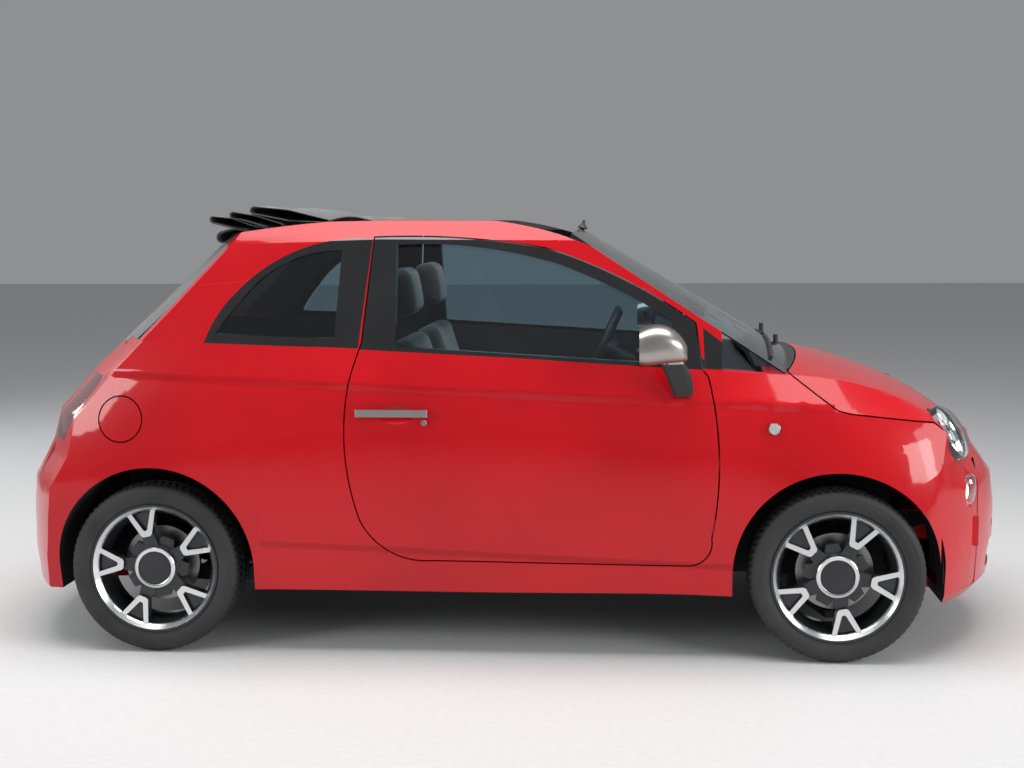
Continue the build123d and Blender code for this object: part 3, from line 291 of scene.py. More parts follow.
windowGlass = makeGlass("windowGlass", (0.50, 0.63, 0.69))
lampGlass = makeGlass("lampGlass", (0.96, 0.97, 0.98))
dayGlow = makeGlow("dayGlow", (1.0, 0.97, 0.93), 3.2)
lampWhite = makeGrained("lampWhite", (0.62, 0.62, 0.60), 0.3, 200, 0.05)
steerLeather = makeGrained("steerLeather", (0.022, 0.021, 0.021), 0.5, 340, 0.5)
tailRed = makeGrained("tailRed", (0.16, 0.002, 0.004), 0.08, 90, 0.02, coat=1.0, spread=0.1)
print("materials made")


# ---- carried-over nodes: a welded copy with its own materials, face by face
def panelCopy(name, materials, rule=None, angle=28, bevel=0.0):
    source = nodes[name]
    obj = bpy.data.objects.new(name + "Look", source.data.copy())
    scene.collection.objects.link(obj)
    obj.data.materials.clear()
    for mat in materials:
        obj.data.materials.append(mat)
    only(obj)
    bpy.ops.object.mode_set(mode="EDIT")
    bpy.ops.mesh.select_all(action="SELECT")
    bpy.ops.mesh.remove_doubles(threshold=weldNear)
    bpy.ops.object.mode_set(mode="OBJECT")
    if obj.data.has_custom_normals:
        bpy.ops.mesh.customdata_custom_splitnormals_clear()
    for poly in obj.data.polygons:
        poly.material_index = rule(poly.center, poly.normal) if rule else 0
    bpy.ops.object.shade_smooth_by_angle(angle=math.radians(angle))
    if bevel:
        soften = obj.modifiers.new("soften", "BEVEL")
        soften.width = bevel
        soften.segments = 2
        soften.limit_method = "ANGLE"
        soften.angle_limit = math.radians(40)
        soften.use_clamp_overlap = True
        soften.harden_normals = False
        bpy.ops.object.modifier_apply(modifier="soften")
        bpy.ops.object.shade_smooth_by_angle(angle=math.radians(angle))
    if materials[0] == redPaint:
        even = obj.modifiers.new("even", "WEIGHTED_NORMAL")
        even.keep_sharp = True
        even.weight = 90
        bpy.ops.object.modifier_apply(modifier="even")
    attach(obj, nodeBody(name))
    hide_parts(name)
    return obj


def nodeBody(name):
    for body, members in frame["record"]["behaviour"]["bodies"].items():
        if name in members:
            return body
    return "body"


# distances that tell a panel's outside from its inside
skin = {"frontAxle": 1.1345, "rearAxle": -1.1655, "archZ": 0.295, "archReach": 0.372, "floorZ": 0.225}


def inArch(centre, normal):
    for axle in (skin["frontAxle"], skin["rearAxle"]):
        dx, dz = centre.x - axle, centre.z - skin["archZ"]
        reach = math.hypot(dx, dz)
        if reach < skin["archReach"] and abs(centre.y) > 0.40 and centre.z < 0.68:
            toward = -(dx * normal.x + dz * normal.z)
            inner = abs(centre.y) < 0.60
            lidded = abs(normal.z) > 0.9 and toward > 0
            if toward > 0.3 * max(reach, 0.01) or inner or lidded:
                return True
            if abs(normal.y) < 0.5 and reach < 0.368:
                return True
    return False


# the rear edge of the door opening, above the waist
pillar = {"from": -0.47, "to": -0.38, "low": 1.04}


def bodyRule(centre, normal):
    if inArch(centre, normal):
        return 1
    outward = normal.y * (1 if centre.y > 0 else -1)
    if normal.z < -0.95 and centre.z < skin["floorZ"]:
        return 1
    onPillar = centre.z > pillar["low"] and pillar["from"] < centre.x < pillar["to"]
    pillarEdge = abs(normal.x) > 0.75 and onPillar
    return 2 if outward < -0.35 or pillarEdge else 0


def setNode(name, mat):
    node = nodes[name]
    node.data.materials.clear()
    node.data.materials.append(mat)


for name in ("body_side_right", "body_side_left", "front_wings"):
    panelCopy(name, [redPaint, linerFelt, doorCard], bodyRule)
print("body sides dressed")


# the floor's finishes: paint in the engine bay, coating below, carpet in the cabin
floorZones = {"bayX": 0.83, "bayLow": 0.24, "underTop": 0.235}


def floorRule(centre, normal):
    if inArch(centre, normal):
        return 1
    if centre.x > floorZones["bayX"] and centre.z > floorZones["bayLow"]:
        return 0
    if centre.z < floorZones["underTop"] and normal.z < 0.3:
        return 3
    return 2


def bumperRule(centre, normal):
    if inArch(centre, normal) and abs(normal.y) < 0.6:
        return 1
    ahead = normal.x * (1 if centre.x > 0 else -1)
    outward = normal.y * (1 if centre.y > 0 else -1)
    facing = ahead * 0.8 + outward * 0.6
    if facing + max(normal.z, 0) * 0.4 < 0.12 or normal.z < -0.9:
        return 2
    return 0


def doorRule(centre, normal):
    outward = normal.y * (1 if centre.y > 0 else -1)
    return 1 if outward < -0.5 else 0


# the door trim's finishes: the mirror's shell and its glass, the mirror's foot, the handle
trimZones = {"mirrorY": 0.79, "mirrorLow": 1.003, "mirrorX": 0.555, "mirrorHalf": 0.1, "glassX": 0.482,
             "handleTop": 0.86, "footY": 0.765, "footTop": 1.0, "footX": 0.5}


def trimRule(centre, normal):
    zone = trimZones
    outY = abs(centre.y)
    nearMirror = abs(centre.x - zone["mirrorX"]) < zone["mirrorHalf"]
    if outY > zone["mirrorY"] and centre.z > zone["mirrorLow"] and nearMirror:
        return 3 if normal.x < -0.85 and centre.x < zone["glassX"] else 1
    if centre.z < zone["handleTop"]:
        return 1
    onFoot = outY > zone["footY"] and centre.z < zone["footTop"] and centre.x > zone["footX"]
    return 2 if onFoot else 0


# the floor's rear corners are drawn in, on the copy, to lie inside the bumper
tuckedCorner = {"x": -1.585, "y": 0.50, "to": 0.465, "high": 0.65, "back": -1.62, "backTo": -1.612}
floorCopy = panelCopy("floor_pan", [redPaint, linerFelt, carpet, underCoat], floorRule)
for vertex in floorCopy.data.vertices:
    if vertex.co.x < tuckedCorner["x"] and abs(vertex.co.y) > tuckedCorner["y"]:
        vertex.co.y = math.copysign(tuckedCorner["to"], vertex.co.y)
    if vertex.co.x < tuckedCorner["back"] and vertex.co.z > tuckedCorner["high"]:
        vertex.co.x = tuckedCorner["backTo"]
panelCopy("front_bumper", [redPaint, linerFelt, underCoat], bumperRule)
panelCopy("rear_bumper", [redPaint, linerFelt, underCoat], bumperRule)
for name in ("tail_panel", "bonnet", "boot_lid", "fuel_flap"):
    panelCopy(name, [redPaint])
for side in ("right", "left"):
    panelCopy("door_" + side, [redPaint, doorCard], doorRule)
    panelCopy("door_trim_" + side, [blackGloss, satinTitanium, blackPlastic, chrome], trimRule)
    setNode("door_glass_" + side, windowGlass)
    panelCopy("knuckle_" + side, [underCoat])
panelCopy("tail_lamps", [tailRed])
plainPanels = {"side_surrounds": blackGloss, "cowl": blackPlastic, "windscreen_header": blackGloss,
               "front_grille": blackPlastic, "front_subframe": underCoat, "rear_axle": underCoat,
               "underbody": underCoat}
for name, mat in plainPanels.items():
    panelCopy(name, [mat])
panelCopy("engine", [underCoat], bevel=0.004)
panelCopy("rear_canvas", [roofCloth])
panelCopy("dashboard", [dashSkin], bevel=0.006)


def cornerFill(name, source, low, high, sink):
    # a block behind a bumper's thin corner: what the bumper's outer form and a box share
    for sign in (1, -1):
        fill = bpy.data.objects.new(name + ("Left" if sign > 0 else "Right"), nodes[source].data.copy())
        scene.collection.objects.link(fill)
        only(fill)
        bpy.ops.object.mode_set(mode="EDIT")
        bpy.ops.mesh.select_all(action="SELECT")
        bpy.ops.mesh.convex_hull()
        bpy.ops.object.mode_set(mode="OBJECT")
        fill.data.materials.clear()
        centre = [(low[k] + high[k]) / 2 for k in range(3)]
        bpy.ops.mesh.primitive_cube_add(size=1, location=(centre[0], centre[1] * sign, centre[2]))
        cutter = bpy.context.object
        cutter.scale = [high[k] - low[k] for k in range(3)]
        only(fill)
        cut = fill.modifiers.new("cut", "BOOLEAN")
        cut.operation = "INTERSECT"
        cut.object = cutter
        bpy.ops.object.modifier_apply(modifier="cut")
        bpy.data.objects.remove(cutter)
        for vertex in fill.data.vertices:
            vertex.co.x -= sink * (1 if vertex.co.x > 0 else -1)
            vertex.co.y -= sink * 0.5 * sign
        fill.data.materials.append(redPaint)
        for poly in fill.data.polygons:
            poly.material_index = 0
        bpy.ops.object.shade_smooth_by_angle(angle=math.radians(28))
        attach(fill, "body")


# per fill: the bumper, the box's low and high corner on the left side
cornerBoxes = {"noseCorner": ("front_bumper", (1.57, 0.475, 0.186), (1.75, 0.585, 0.672)),
               "tailCorner": ("rear_bumper", (-1.75, 0.485, 0.24), (-1.57, 0.575, 0.704))}
fillSink = 0.0012
for name, (source, low, high) in cornerBoxes.items():
    cornerFill(name, source, low, high, fillSink)
setNode("windscreen", windowGlass)
setNode("rear_glass", windowGlass)
print("panels dressed")


# ---- wheels
# a tyre's radius, which is also its axle's height
wheelRadius = 0.291
wheelPlaces = {"front_left": (1.1345, 0.7065), "front_right": (1.1345, -0.7065),
               "rear_left": (-1.1655, 0.7035), "rear_right": (-1.1655, -0.7035)}
rimParts = {"forkFace": 0.0785, "discEdge": 0.1325, "discBack": -0.008, "boreEdge": 0.05, "ringIn": 0.0575,
            "ringOut": 0.0705, "ringFace": 0.061, "lipIn": 0.196, "lipOut": 0.2125, "lipFace": 0.077}


def rimRule(place):
    axleX, wheelY = place
    side = 1 if wheelY > 0 else -1

    def rule(centre, normal):
        reach = math.hypot(centre.x - axleX, centre.z - wheelRadius)
        out = (centre.y - wheelY) * side
        facing = normal.y * side
        if facing > 0.9 and out > rimParts["forkFace"] and reach < rimParts["lipIn"] + 0.01:
            return 1
        onLip = rimParts["lipIn"] < reach < rimParts["lipOut"]
        if facing > 0.3 and out > rimParts["lipFace"] and onLip:
            return 1
        if rimParts["ringIn"] < reach < rimParts["ringOut"] and out > rimParts["ringFace"]:
            return 1
        if out < rimParts["discBack"] and rimParts["boreEdge"] < reach < rimParts["discEdge"]:
            return 2
        return 0
    return rule


tyreShape = {"grooves": (-0.045, -0.0155, 0.0155, 0.045), "grooveWidth": 0.0075, "grooveDepth": 0.007,
             "crown": 0.28, "steps": 216, "sipeEvery": 3, "sipeDepth": 0.0055, "treadFrom": 0.2835,
             "middleRib": 0.014, "shoulderFrom": 0.05}


def tyreOutline():
    # half of the section outside the bead, as (radius, across), from one bead to the other
    side = [(0.2035, 0.078), (0.2075, 0.0815), (0.213, 0.083), (0.2205, 0.0875), (0.2275, 0.0925),
            (0.229, 0.0918), (0.236, 0.0945), (0.243, 0.0963), (0.252, 0.0973), (0.2565, 0.0975),
            (0.258, 0.0968), (0.262, 0.0973), (0.270, 0.0958), (0.2765, 0.0925), (0.283, 0.0862),
            (0.2872, 0.0785), (0.2893, 0.0705)]
    tread = []
    for centre in tyreShape["grooves"]:
        half = tyreShape["grooveWidth"] / 2
        bottom = wheelRadius - tyreShape["grooveDepth"]
        tread += [(wheelRadius, centre - half), (bottom, centre - half * 0.6),
                  (bottom, centre + half * 0.6), (wheelRadius, centre + half)]
    left = [(radius, -across) for radius, across in side]
    right = [(radius, across) for radius, across in reversed(side)]
    middle = [(radius - tyreShape["crown"] * across * across, across) for radius, across in tread]
    return left + middle + right


def makeTyre(key):
    axleX, wheelY = wheelPlaces[key]
    outline = tyreOutline()
    mesh = bpy.data.meshes.new("tyreLook_" + key)
    obj = bpy.data.objects.new("tyreLook_" + key, mesh)
    scene.collection.objects.link(obj)
    mesh.from_pydata([(radius, across, 0) for radius, across in outline],
                     [(k, k + 1) for k in range(len(outline) - 1)], [])
    only(obj)
    bpy.ops.object.mode_set(mode="EDIT")
    bpy.ops.mesh.select_all(action="SELECT")
    bpy.ops.mesh.spin(steps=tyreShape["steps"], angle=2 * math.pi, center=(0, 0, 0), axis=(0, 1, 0))
    bpy.ops.mesh.select_all(action="SELECT")
    bpy.ops.mesh.remove_doubles(threshold=mergeNear)
    bpy.ops.mesh.normals_make_consistent(inside=False)
    bpy.ops.object.mode_set(mode="OBJECT")
    # cross grooves: every third row outside the middle rib is pressed in
    stepAngle = 2 * math.pi / tyreShape["steps"]
    for vertex in mesh.vertices:
        x, y, z = vertex.co
        radius = math.hypot(x, z)
        row = round(math.atan2(z, x) / stepAngle) % tyreShape["steps"]
        lean = 1 if abs(y) > tyreShape["shoulderFrom"] else 0
        onTread = radius > tyreShape["treadFrom"] and abs(y) > tyreShape["middleRib"]
        if onTread and (row + lean) % tyreShape["sipeEvery"] == 0:
            press = (radius - tyreShape["sipeDepth"]) / radius
            vertex.co = (x * press, y, z * press)
    mesh.transform(Matrix.Translation((axleX, wheelY, wheelRadius)))
    mesh.materials.append(rubber)
    bpy.ops.object.shade_smooth_by_angle(angle=math.radians(30))
    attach(obj, "wheel_" + key)
    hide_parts("tyre_" + key)
    return obj


for key, place in wheelPlaces.items():
    panelCopy("rim_" + key, [wheelBlack, machinedFace, discSteel], rimRule(place), angle=35, bevel=0.0012)
    makeTyre(key)
print("wheels dressed")


# ---- front wheel arch liners: a strip of felt bent round over each tyre
linerShape = {"radius": 0.357, "thick": 0.003, "inY": 0.46, "outY": 0.705, "from": -6, "sweep": 192,
              "steps": 48}
for key in ("front_left", "front_right"):
    axleX, wheelY = wheelPlaces[key]
    sign = 1 if wheelY > 0 else -1
    start = math.radians(linerShape["from"])
    low, high = linerShape["radius"], linerShape["radius"] + linerShape["thick"]
    strip = [(low, linerShape["inY"]), (low, linerShape["outY"]), (high, linerShape["outY"]),
             (high, linerShape["inY"])]
    mesh = bpy.data.meshes.new("archLiner_" + key)
    liner = bpy.data.objects.new("archLiner_" + key, mesh)
    scene.collection.objects.link(liner)
    mesh.from_pydata([(r * math.cos(start), y * sign, r * math.sin(start)) for r, y in strip],
                     [(0, 1), (1, 2), (2, 3), (3, 0)], [])
    only(liner)
    bpy.ops.object.mode_set(mode="EDIT")
    bpy.ops.mesh.select_all(action="SELECT")
    bpy.ops.mesh.spin(steps=linerShape["steps"], angle=math.radians(linerShape["sweep"]), center=(0, 0, 0),
                      axis=(0, 1, 0))
    bpy.ops.mesh.select_all(action="SELECT")
    bpy.ops.mesh.normals_make_consistent(inside=False)
    bpy.ops.object.mode_set(mode="OBJECT")
    mesh.transform(Matrix.Translation((axleX, 0, skin["archZ"])))
    mesh.materials.append(linerFelt)
    bpy.ops.object.shade_smooth_by_angle(angle=math.radians(35))
    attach(liner, "body")
print("arch liners made")


# ---- turned pieces: outlines are (radius, height) pairs, and this radius stands for the axis
onAxis = 0.0001


def turned(name, outline, place, axis, mat, body, steps=56, angle=35):
    mesh = bpy.data.meshes.new(name)
    obj = bpy.data.objects.new(name, mesh)
    scene.collection.objects.link(obj)
    count = len(outline)
    mesh.from_pydata([(radius, 0, height) for radius, height in outline],
                     [(k, k + 1) for k in range(count - 1)], [])
    only(obj)
    bpy.ops.object.mode_set(mode="EDIT")
    bpy.ops.mesh.select_all(action="SELECT")
    bpy.ops.mesh.spin(steps=steps, angle=2 * math.pi, center=(0, 0, 0), axis=(0, 0, 1))
    bpy.ops.mesh.select_all(action="SELECT")
    bpy.ops.mesh.remove_doubles(threshold=mergeNear)
    bpy.ops.mesh.normals_make_consistent(inside=False)
    bpy.ops.object.mode_set(mode="OBJECT")
    turn = Vector(axis).normalized().to_track_quat("Z", "Y").to_matrix().to_4x4()
    mesh.transform(Matrix.Translation(place) @ turn)
    mesh.materials.append(mat)
    bpy.ops.object.shade_smooth_by_angle(angle=math.radians(angle))
    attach(obj, body)
    return obj


def dome(radius, height, depth, count=9):
    # a lens shell: out along its front, back along its inside
    front = [(radius * math.sin(k / count * math.pi / 2), height * math.cos(k / count * math.pi / 2))
             for k in range(count + 1)]
    back = [(r * 0.97, h - depth) for r, h in reversed(front)]
    return front + back


# ---- wheel caps
capShape = {"face": 0.0795, "in": 0.0575, "out": 0.0705}
for key, (axleX, wheelY) in wheelPlaces.items():
    sign = 1 if wheelY > 0 else -1
    place = Vector((axleX, wheelY, wheelRadius))
    face, near, far = capShape["face"], capShape["in"], capShape["out"]
    turned("capRing_" + key, [(near, face), (near, face + 0.003), (near + 0.003, face + 0.0045),
                              (far - 0.003, face + 0.0045), (far, face + 0.002), (far, face - 0.02),
                              (near, face - 0.02), (near, face)],
           place, (0, sign, 0), machinedFace, "wheel_" + key)
    turned("wheelCap_" + key, [(onAxis, face + 0.003), (near * 0.6, face + 0.0025),
                               (near * 0.97, face + 0.0005), (near * 0.985, face - 0.01),
                               (onAxis, face - 0.01)],
           place, (0, sign, 0), blackPlastic, "wheel_" + key)
print("wheel caps made")


# ---- lamps: each is a nest of turned pieces on one axis
# a lamp's outlines are (share of its radius, height), apart from the projector's, which are in metres.
# The lens is share, height and wall, and the inside is how far back and down the projector sits.
headLamp = {"x": 1.527, "y": 0.585, "z": 0.748, "axis": (0.80, 0.33, 0.50), "radius": 0.0995,
            "lens": (0.975, 0.040, 0.003), "inside": (-0.03, -0.008),
            "bezel": [(0.955, -0.002), (0.955, 0.004), (0.985, 0.006), (1, 0.001), (1, -0.03),
                      (0.955, -0.03), (0.955, -0.002)],
            "ring": [(0.955, -0.004), (0.90, -0.010), (0.86, -0.018), (0.90, -0.022), (0.955, -0.004)],
            "bowl": [(0.95, -0.012), (0.80, -0.040), (0.60, -0.066), (0.36, -0.078), (0, -0.080)],
            "projector": [(onAxis, 0.012), (0.016, 0.009), (0.027, 0.001), (0.031, -0.008),
                          (0.031, -0.014), (onAxis, -0.014)],
            "projectorRing": [(0.033, -0.002), (0.041, 0.002), (0.046, -0.006), (0.046, -0.040),
                              (0.033, -0.040), (0.033, -0.002)]}
dayLamp = {"x": 1.604, "y": 0.562, "z": 0.546, "axis": (0.86, 0.51, 0.0), "radius": 0.0575,
           "lens": (0.93, 0.012, 0.003),
           "glow": [(0, 0.002), (0.45, 0.001), (0.88, -0.006), (0.9, -0.02), (0, -0.02)],
           "bezel": [(0.90, -0.004), (0.93, 0.003), (1, 0.001), (1, -0.03), (0.90, -0.03), (0.90, -0.004)]}


def lampLine(lamp, sign):
    place = Vector((lamp["x"], sign * lamp["y"], lamp["z"]))
    axis = Vector((lamp["axis"][0], sign * lamp["axis"][1], lamp["axis"][2])).normalized()
    return place, axis


def lampDome(lamp):
    share, height, thick = lamp["lens"]
    return dome(lamp["radius"] * share, height, thick)


def lampOutline(lamp, part):
    # a share of 0 lies on the axis
    return [(lamp["radius"] * share if share else onAxis, height) for share, height in lamp[part]]


for side, sign in (("right", -1), ("left", 1)):
    place, axis = lampLine(headLamp, sign)
    lens = turned("headLens_" + side, lampDome(headLamp), place, axis, lampGlass, "body")
    if side == "right":
        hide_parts("headlamps")
    turned("headBezel_" + side, lampOutline(headLamp, "bezel"), place, axis, blackGloss, "body")
    turned("headRing_" + side, lampOutline(headLamp, "ring"), place, axis, chrome, "body")
    turned("headBowl_" + side, lampOutline(headLamp, "bowl"), place, axis, chrome, "body")
    back, drop = headLamp["inside"]
    inner = place + axis * back + Vector((0, 0, drop))
    turned("headProjector_" + side, headLamp["projector"], inner, axis, lampGlass, "body")
    turned("headProjectorRing_" + side, headLamp["projectorRing"], inner, axis, blackGloss, "body")
    place, axis = lampLine(dayLamp, sign)
    turned("dayLens_" + side, lampDome(dayLamp), place, axis, lampGlass, "body")
    turned("dayGlow_" + side, lampOutline(dayLamp, "glow"), place, axis, dayGlow, "body")
    turned("dayBezel_" + side, lampOutline(dayLamp, "bezel"), place, axis, chrome, "body")
print("lamps made")


# ---- the folded roof: loops of cloth lying one on the next, as one sheet
# each loop is three circles, as x, z, radius in turn, and the bow is an arched strip ahead of the loops
roofFolds = {"half": 0.551, "columns": 44, "sag": 0.004, "thick": 0.0028, "bowX": -0.604, "bowStep": 0.0145,
             "bowZ": 1.4625, "bowRise": 0.0185, "bowSteps": 12, "bowLength": 0.18,
             "loops": [(-0.966, 1.412, 0.021, -0.935, 1.424, 0.017, -0.890, 1.436, 0.006),
                       (-0.997, 1.471, 0.013, -0.905, 1.454, 0.020, -0.822, 1.439, 0.010),
                       (-0.925, 1.486, 0.013, -0.850, 1.466, 0.020, -0.764, 1.449, 0.010),
                       (-0.851, 1.503, 0.014, -0.735, 1.486, 0.020, -0.596, 1.465, 0.006)]}


def loopOutline(loop, points=44):
    # support points of three circles in turn give the loop's outline
    circles = [loop[k:k + 3] for k in (0, 3, 6)]
    outline = []
    for k in range(points):
        turn = 2 * math.pi * k / points
        way = (math.cos(turn), math.sin(turn))
        x, z, r = max(circles, key=lambda c: c[0] * way[0] + c[1] * way[1] + c[2])
        outline.append((x + r * way[0], z + r * way[1]))
    return outline


def makeRoof():
    mesh = bpy.data.meshes.new("roofSheet")
    obj = bpy.data.objects.new("roofSheet", mesh)
    scene.collection.objects.link(obj)
    points, edges = [], []
    for loop in roofFolds["loops"]:
        outline = loopOutline(loop)
        start = len(points)
        points += [(x, -roofFolds["half"], z) for x, z in outline]
        edges += [(start + k, start + (k + 1) % len(outline)) for k in range(len(outline))]
    start = len(points)
    bow = [(roofFolds["bowX"] + roofFolds["bowStep"] * k,
            roofFolds["bowZ"] + roofFolds["bowRise"] * math.sin(math.pi * k / roofFolds["bowSteps"]))
           for k in range(roofFolds["bowSteps"] + 1)]
    points += [(x, -roofFolds["half"], z) for x, z in bow]
    edges += [(start + k, start + k + 1) for k in range(len(bow) - 1)]
    mesh.from_pydata(points, edges, [])
    only(obj)
    bpy.ops.object.mode_set(mode="EDIT")
    stepY = 2 * roofFolds["half"] / roofFolds["columns"]
    bpy.ops.mesh.select_all(action="SELECT")
    for k in range(roofFolds["columns"]):
        bpy.ops.mesh.extrude_region_move(TRANSFORM_OT_translate={"value": (0, stepY, 0)})
    bpy.ops.mesh.select_all(action="SELECT")
    bpy.ops.mesh.normals_make_consistent(inside=False)
    bpy.ops.object.mode_set(mode="OBJECT")
    for vertex in mesh.vertices:
        x, y, z = vertex.co
        along = y / roofFolds["half"]
        ripple = 0.0022 * math.sin(9.0 * y + 31 * x) + 0.0015 * math.sin(23 * y + 60 * z)
        drop = roofFolds["sag"] * math.cos(math.pi * along / 2)
        vertex.co.z += ripple * (1 - along ** 8) - drop * 0.4
        vertex.co.x += 0.002 * math.sin(14 * y + 50 * z)
    thick = obj.modifiers.new("thick", "SOLIDIFY")
    thick.thickness = roofFolds["thick"]
    thick.offset = -1
    bpy.ops.object.modifier_apply(modifier="thick")
    mesh = obj.data
    mesh.materials.append(roofCloth)
    bpy.ops.object.shade_smooth_by_angle(angle=math.radians(50))
    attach(obj, "body")
    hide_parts("folded_roof")
    for loop in roofFolds["loops"]:
        outline = loopOutline(loop)
    return obj


makeRoof()
print("roof folded")


# ---- seats: padded backs and cushions
# channels across a pad: depth, width as a share of their pitch, and the border they stop at
channelShape = {"deep": 0.008, "wide": 0.08, "border": 0.93}


def softBlock(name, size, place, tilt, mat, crown=0.02, channels=0, bevel=0.05):
    bpy.ops.mesh.primitive_cube_add(size=1)
    obj = bpy.context.object
    obj.name = name
    obj.data.name = name
    only(obj)
    for vertex in obj.data.vertices:
        vertex.co = Vector((vertex.co.x * size[0], vertex.co.y * size[1], vertex.co.z * size[2]))
    soften = obj.modifiers.new("round", "BEVEL")
    soften.width = bevel
    soften.segments = 4
    bpy.ops.object.modifier_apply(modifier="round")
    bpy.ops.object.mode_set(mode="EDIT")
    bpy.ops.mesh.select_all(action="SELECT")
    bpy.ops.mesh.subdivide(number_cuts=3)
    bpy.ops.object.mode_set(mode="OBJECT")
    thinAxis = min(range(3), key=lambda k: size[k])
    others = [k for k in range(3) if k != thinAxis]
    for vertex in obj.data.vertices:
        u = vertex.co[others[0]] / (size[others[0]] / 2)
        v = vertex.co[others[1]] / (size[others[1]] / 2)
        swell = crown * max(0, 1 - u * u) * max(0, 1 - v * v)
        groove = 0
        if channels:
            run = vertex.co[others[0]] if size[others[0]] > size[others[1]] else vertex.co[others[1]]
            pitch = max(size[others[0]], size[others[1]]) / (channels + 1)
            off = abs((run / pitch + 0.5 * (channels % 2)) % 1 - 0.5)
            groove = channelShape["deep"] * math.exp(-((0.5 - off) / channelShape["wide"]) ** 2)
            if abs(u) > channelShape["border"] or abs(v) > channelShape["border"]:
                groove = 0
        way = 1 if vertex.co[thinAxis] > 0 else -1
        vertex.co[thinAxis] += way * (swell - groove)
    obj.data.transform(Matrix.Translation(place) @ Euler((0, math.radians(tilt), 0)).to_matrix().to_4x4())
    smooth = obj.modifiers.new("smooth", "SUBSURF")
    smooth.levels = 1
    smooth.render_levels = 1
    bpy.ops.object.modifier_apply(modifier="smooth")
    obj.data.materials.append(mat)
    bpy.ops.object.shade_smooth()
    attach(obj, "body")
    return obj


# per piece: size, place on the left, tilt in degrees, crown, channels, bevel
seatY = 0.352
frontSeat = {"seatCushion": ((0.50, 0.46, 0.13), (0.06, seatY, 0.435), -4, 0.012, 3, 0.045),
             "seatBack": ((0.10, 0.45, 0.56), (-0.268, seatY, 0.785), -18, 0.012, 4, 0.04),
             "seatHead": ((0.085, 0.25, 0.17), (-0.356, seatY, 1.213), -10, 0.012, 0, 0.035)}
rearSeat = {"rearSeatCushion": ((0.39, 1.0, 0.15), (-0.76, 0, 0.425), -3, 0.012, 5, 0.04),
            "rearSeatBack": ((0.10, 0.99, 0.50), (-0.975, 0, 0.70), -14, 0.012, 5, 0.04)}
for side, sign in (("right", -1), ("left", 1)):
    for name, (size, place, tilt, crown, channels, bevel) in frontSeat.items():
        spot = (place[0], sign * place[1], place[2])
        softBlock(name + "_" + side, size, spot, tilt, seatCloth, crown, channels,
                                              bevel)
for name, (size, place, tilt, crown, channels, bevel) in rearSeat.items():
    softBlock(name, size, place, tilt, seatCloth, crown, channels, bevel)
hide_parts("front_seats")
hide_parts("rear_seat")
print("seats padded")


# ---- small trim
def roundedBox(name, size, place, mat, body, bevel=0.004, turn=(0, 0, 0)):
    bpy.ops.mesh.primitive_cube_add(size=1)
    obj = bpy.context.object
    obj.name = name
    obj.data.name = name
    only(obj)
    for vertex in obj.data.vertices:
        vertex.co = Vector((vertex.co.x * size[0], vertex.co.y * size[1], vertex.co.z * size[2]))
    soften = obj.modifiers.new("round", "BEVEL")
    soften.width = bevel
    soften.segments = 3
    bpy.ops.object.modifier_apply(modifier="round")
    angles = Euler([math.radians(a) for a in turn]).to_matrix().to_4x4()
    obj.data.transform(Matrix.Translation(place) @ angles)
    obj.data.materials.append(mat)
    bpy.ops.object.shade_smooth_by_angle(angle=math.radians(35))
    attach(obj, body)
    return obj


panelCopy("steering_wheel", [steerLeather], angle=40)
# cabin boxes: size, place, material, bevel, turn in degrees
cabinBoxes = {"centreConsole": ((0.62, 0.15, 0.14), (0.26, 0, 0.372), dashSkin, 0.02, (0, 0, 0)),
              "gearGate": ((0.10, 0.10, 0.03), (0.455, 0, 0.62), dashSkin, 0.012, (0, -30, 0)),
              "brakeLever": ((0.24, 0.032, 0.034), (0.02, 0, 0.47), steerLeather, 0.012, (0, -14, 0)),
              "radioPanel": ((0.03, 0.26, 0.16), (0.538, 0, 0.86), blackGloss, 0.012, (0, -8, 0))}
for name, (size, place, mat, bevel, turn) in cabinBoxes.items():
    roundedBox(name, size, place, mat, "body", bevel, turn)

# turned trim: outline, place, axis, material, steps round
turnedTrim = {"gearLever": ([(onAxis, 0.115), (0.018, 0.108), (0.024, 0.09), (0.018, 0.07), (0.008, 0.06),
                             (0.007, 0.0), (onAxis, 0.0)],
                            (0.452, 0, 0.625), (-0.45, 0, 0.9), steerLeather, 56),
              "dialHood": ([(0.115, -0.06), (0.118, 0.035), (0.112, 0.04), (0.106, 0.03), (0.104, -0.02),
                            (onAxis, -0.025)], (0.56, 0.36, 0.975), (-0.96, 0, 0.25), dashSkin, 56),
              "aerialStub": ([(onAxis, 0.030), (0.004, 0.029), (0.006, 0.016), (0.016, 0.004), (0.021, 0.0),
                              (onAxis, -0.01)], (0.268, 0, 1.437), (0.2, 0, 1), blackPlastic, 28),
              "exhaustTip": ([(0.021, -0.12), (0.021, 0.0), (0.023, 0.003), (0.025, 0.0), (0.025, -0.12)],
                             (-1.66, -0.36, 0.228), (-1, 0, -0.05), chrome, 32)}
for name, (outline, place, axis, mat, steps) in turnedTrim.items():
    turned(name, outline, place, axis, mat, "body", steps)

airVent = {"x": 0.555, "z": 0.90, "across": (-0.56, -0.115, 0.115, 0.60), "axis": (-0.97, 0, 0.2),
           "outline": [(onAxis, 0.004), (0.030, 0.006), (0.034, 0.014), (0.041, 0.012), (0.043, -0.01),
                       (onAxis, -0.01)]}
for k, y in enumerate(airVent["across"]):
    turned("airVent_" + str(k), airVent["outline"], (airVent["x"], y, airVent["z"]), airVent["axis"],
           blackPlastic, "body", 40)

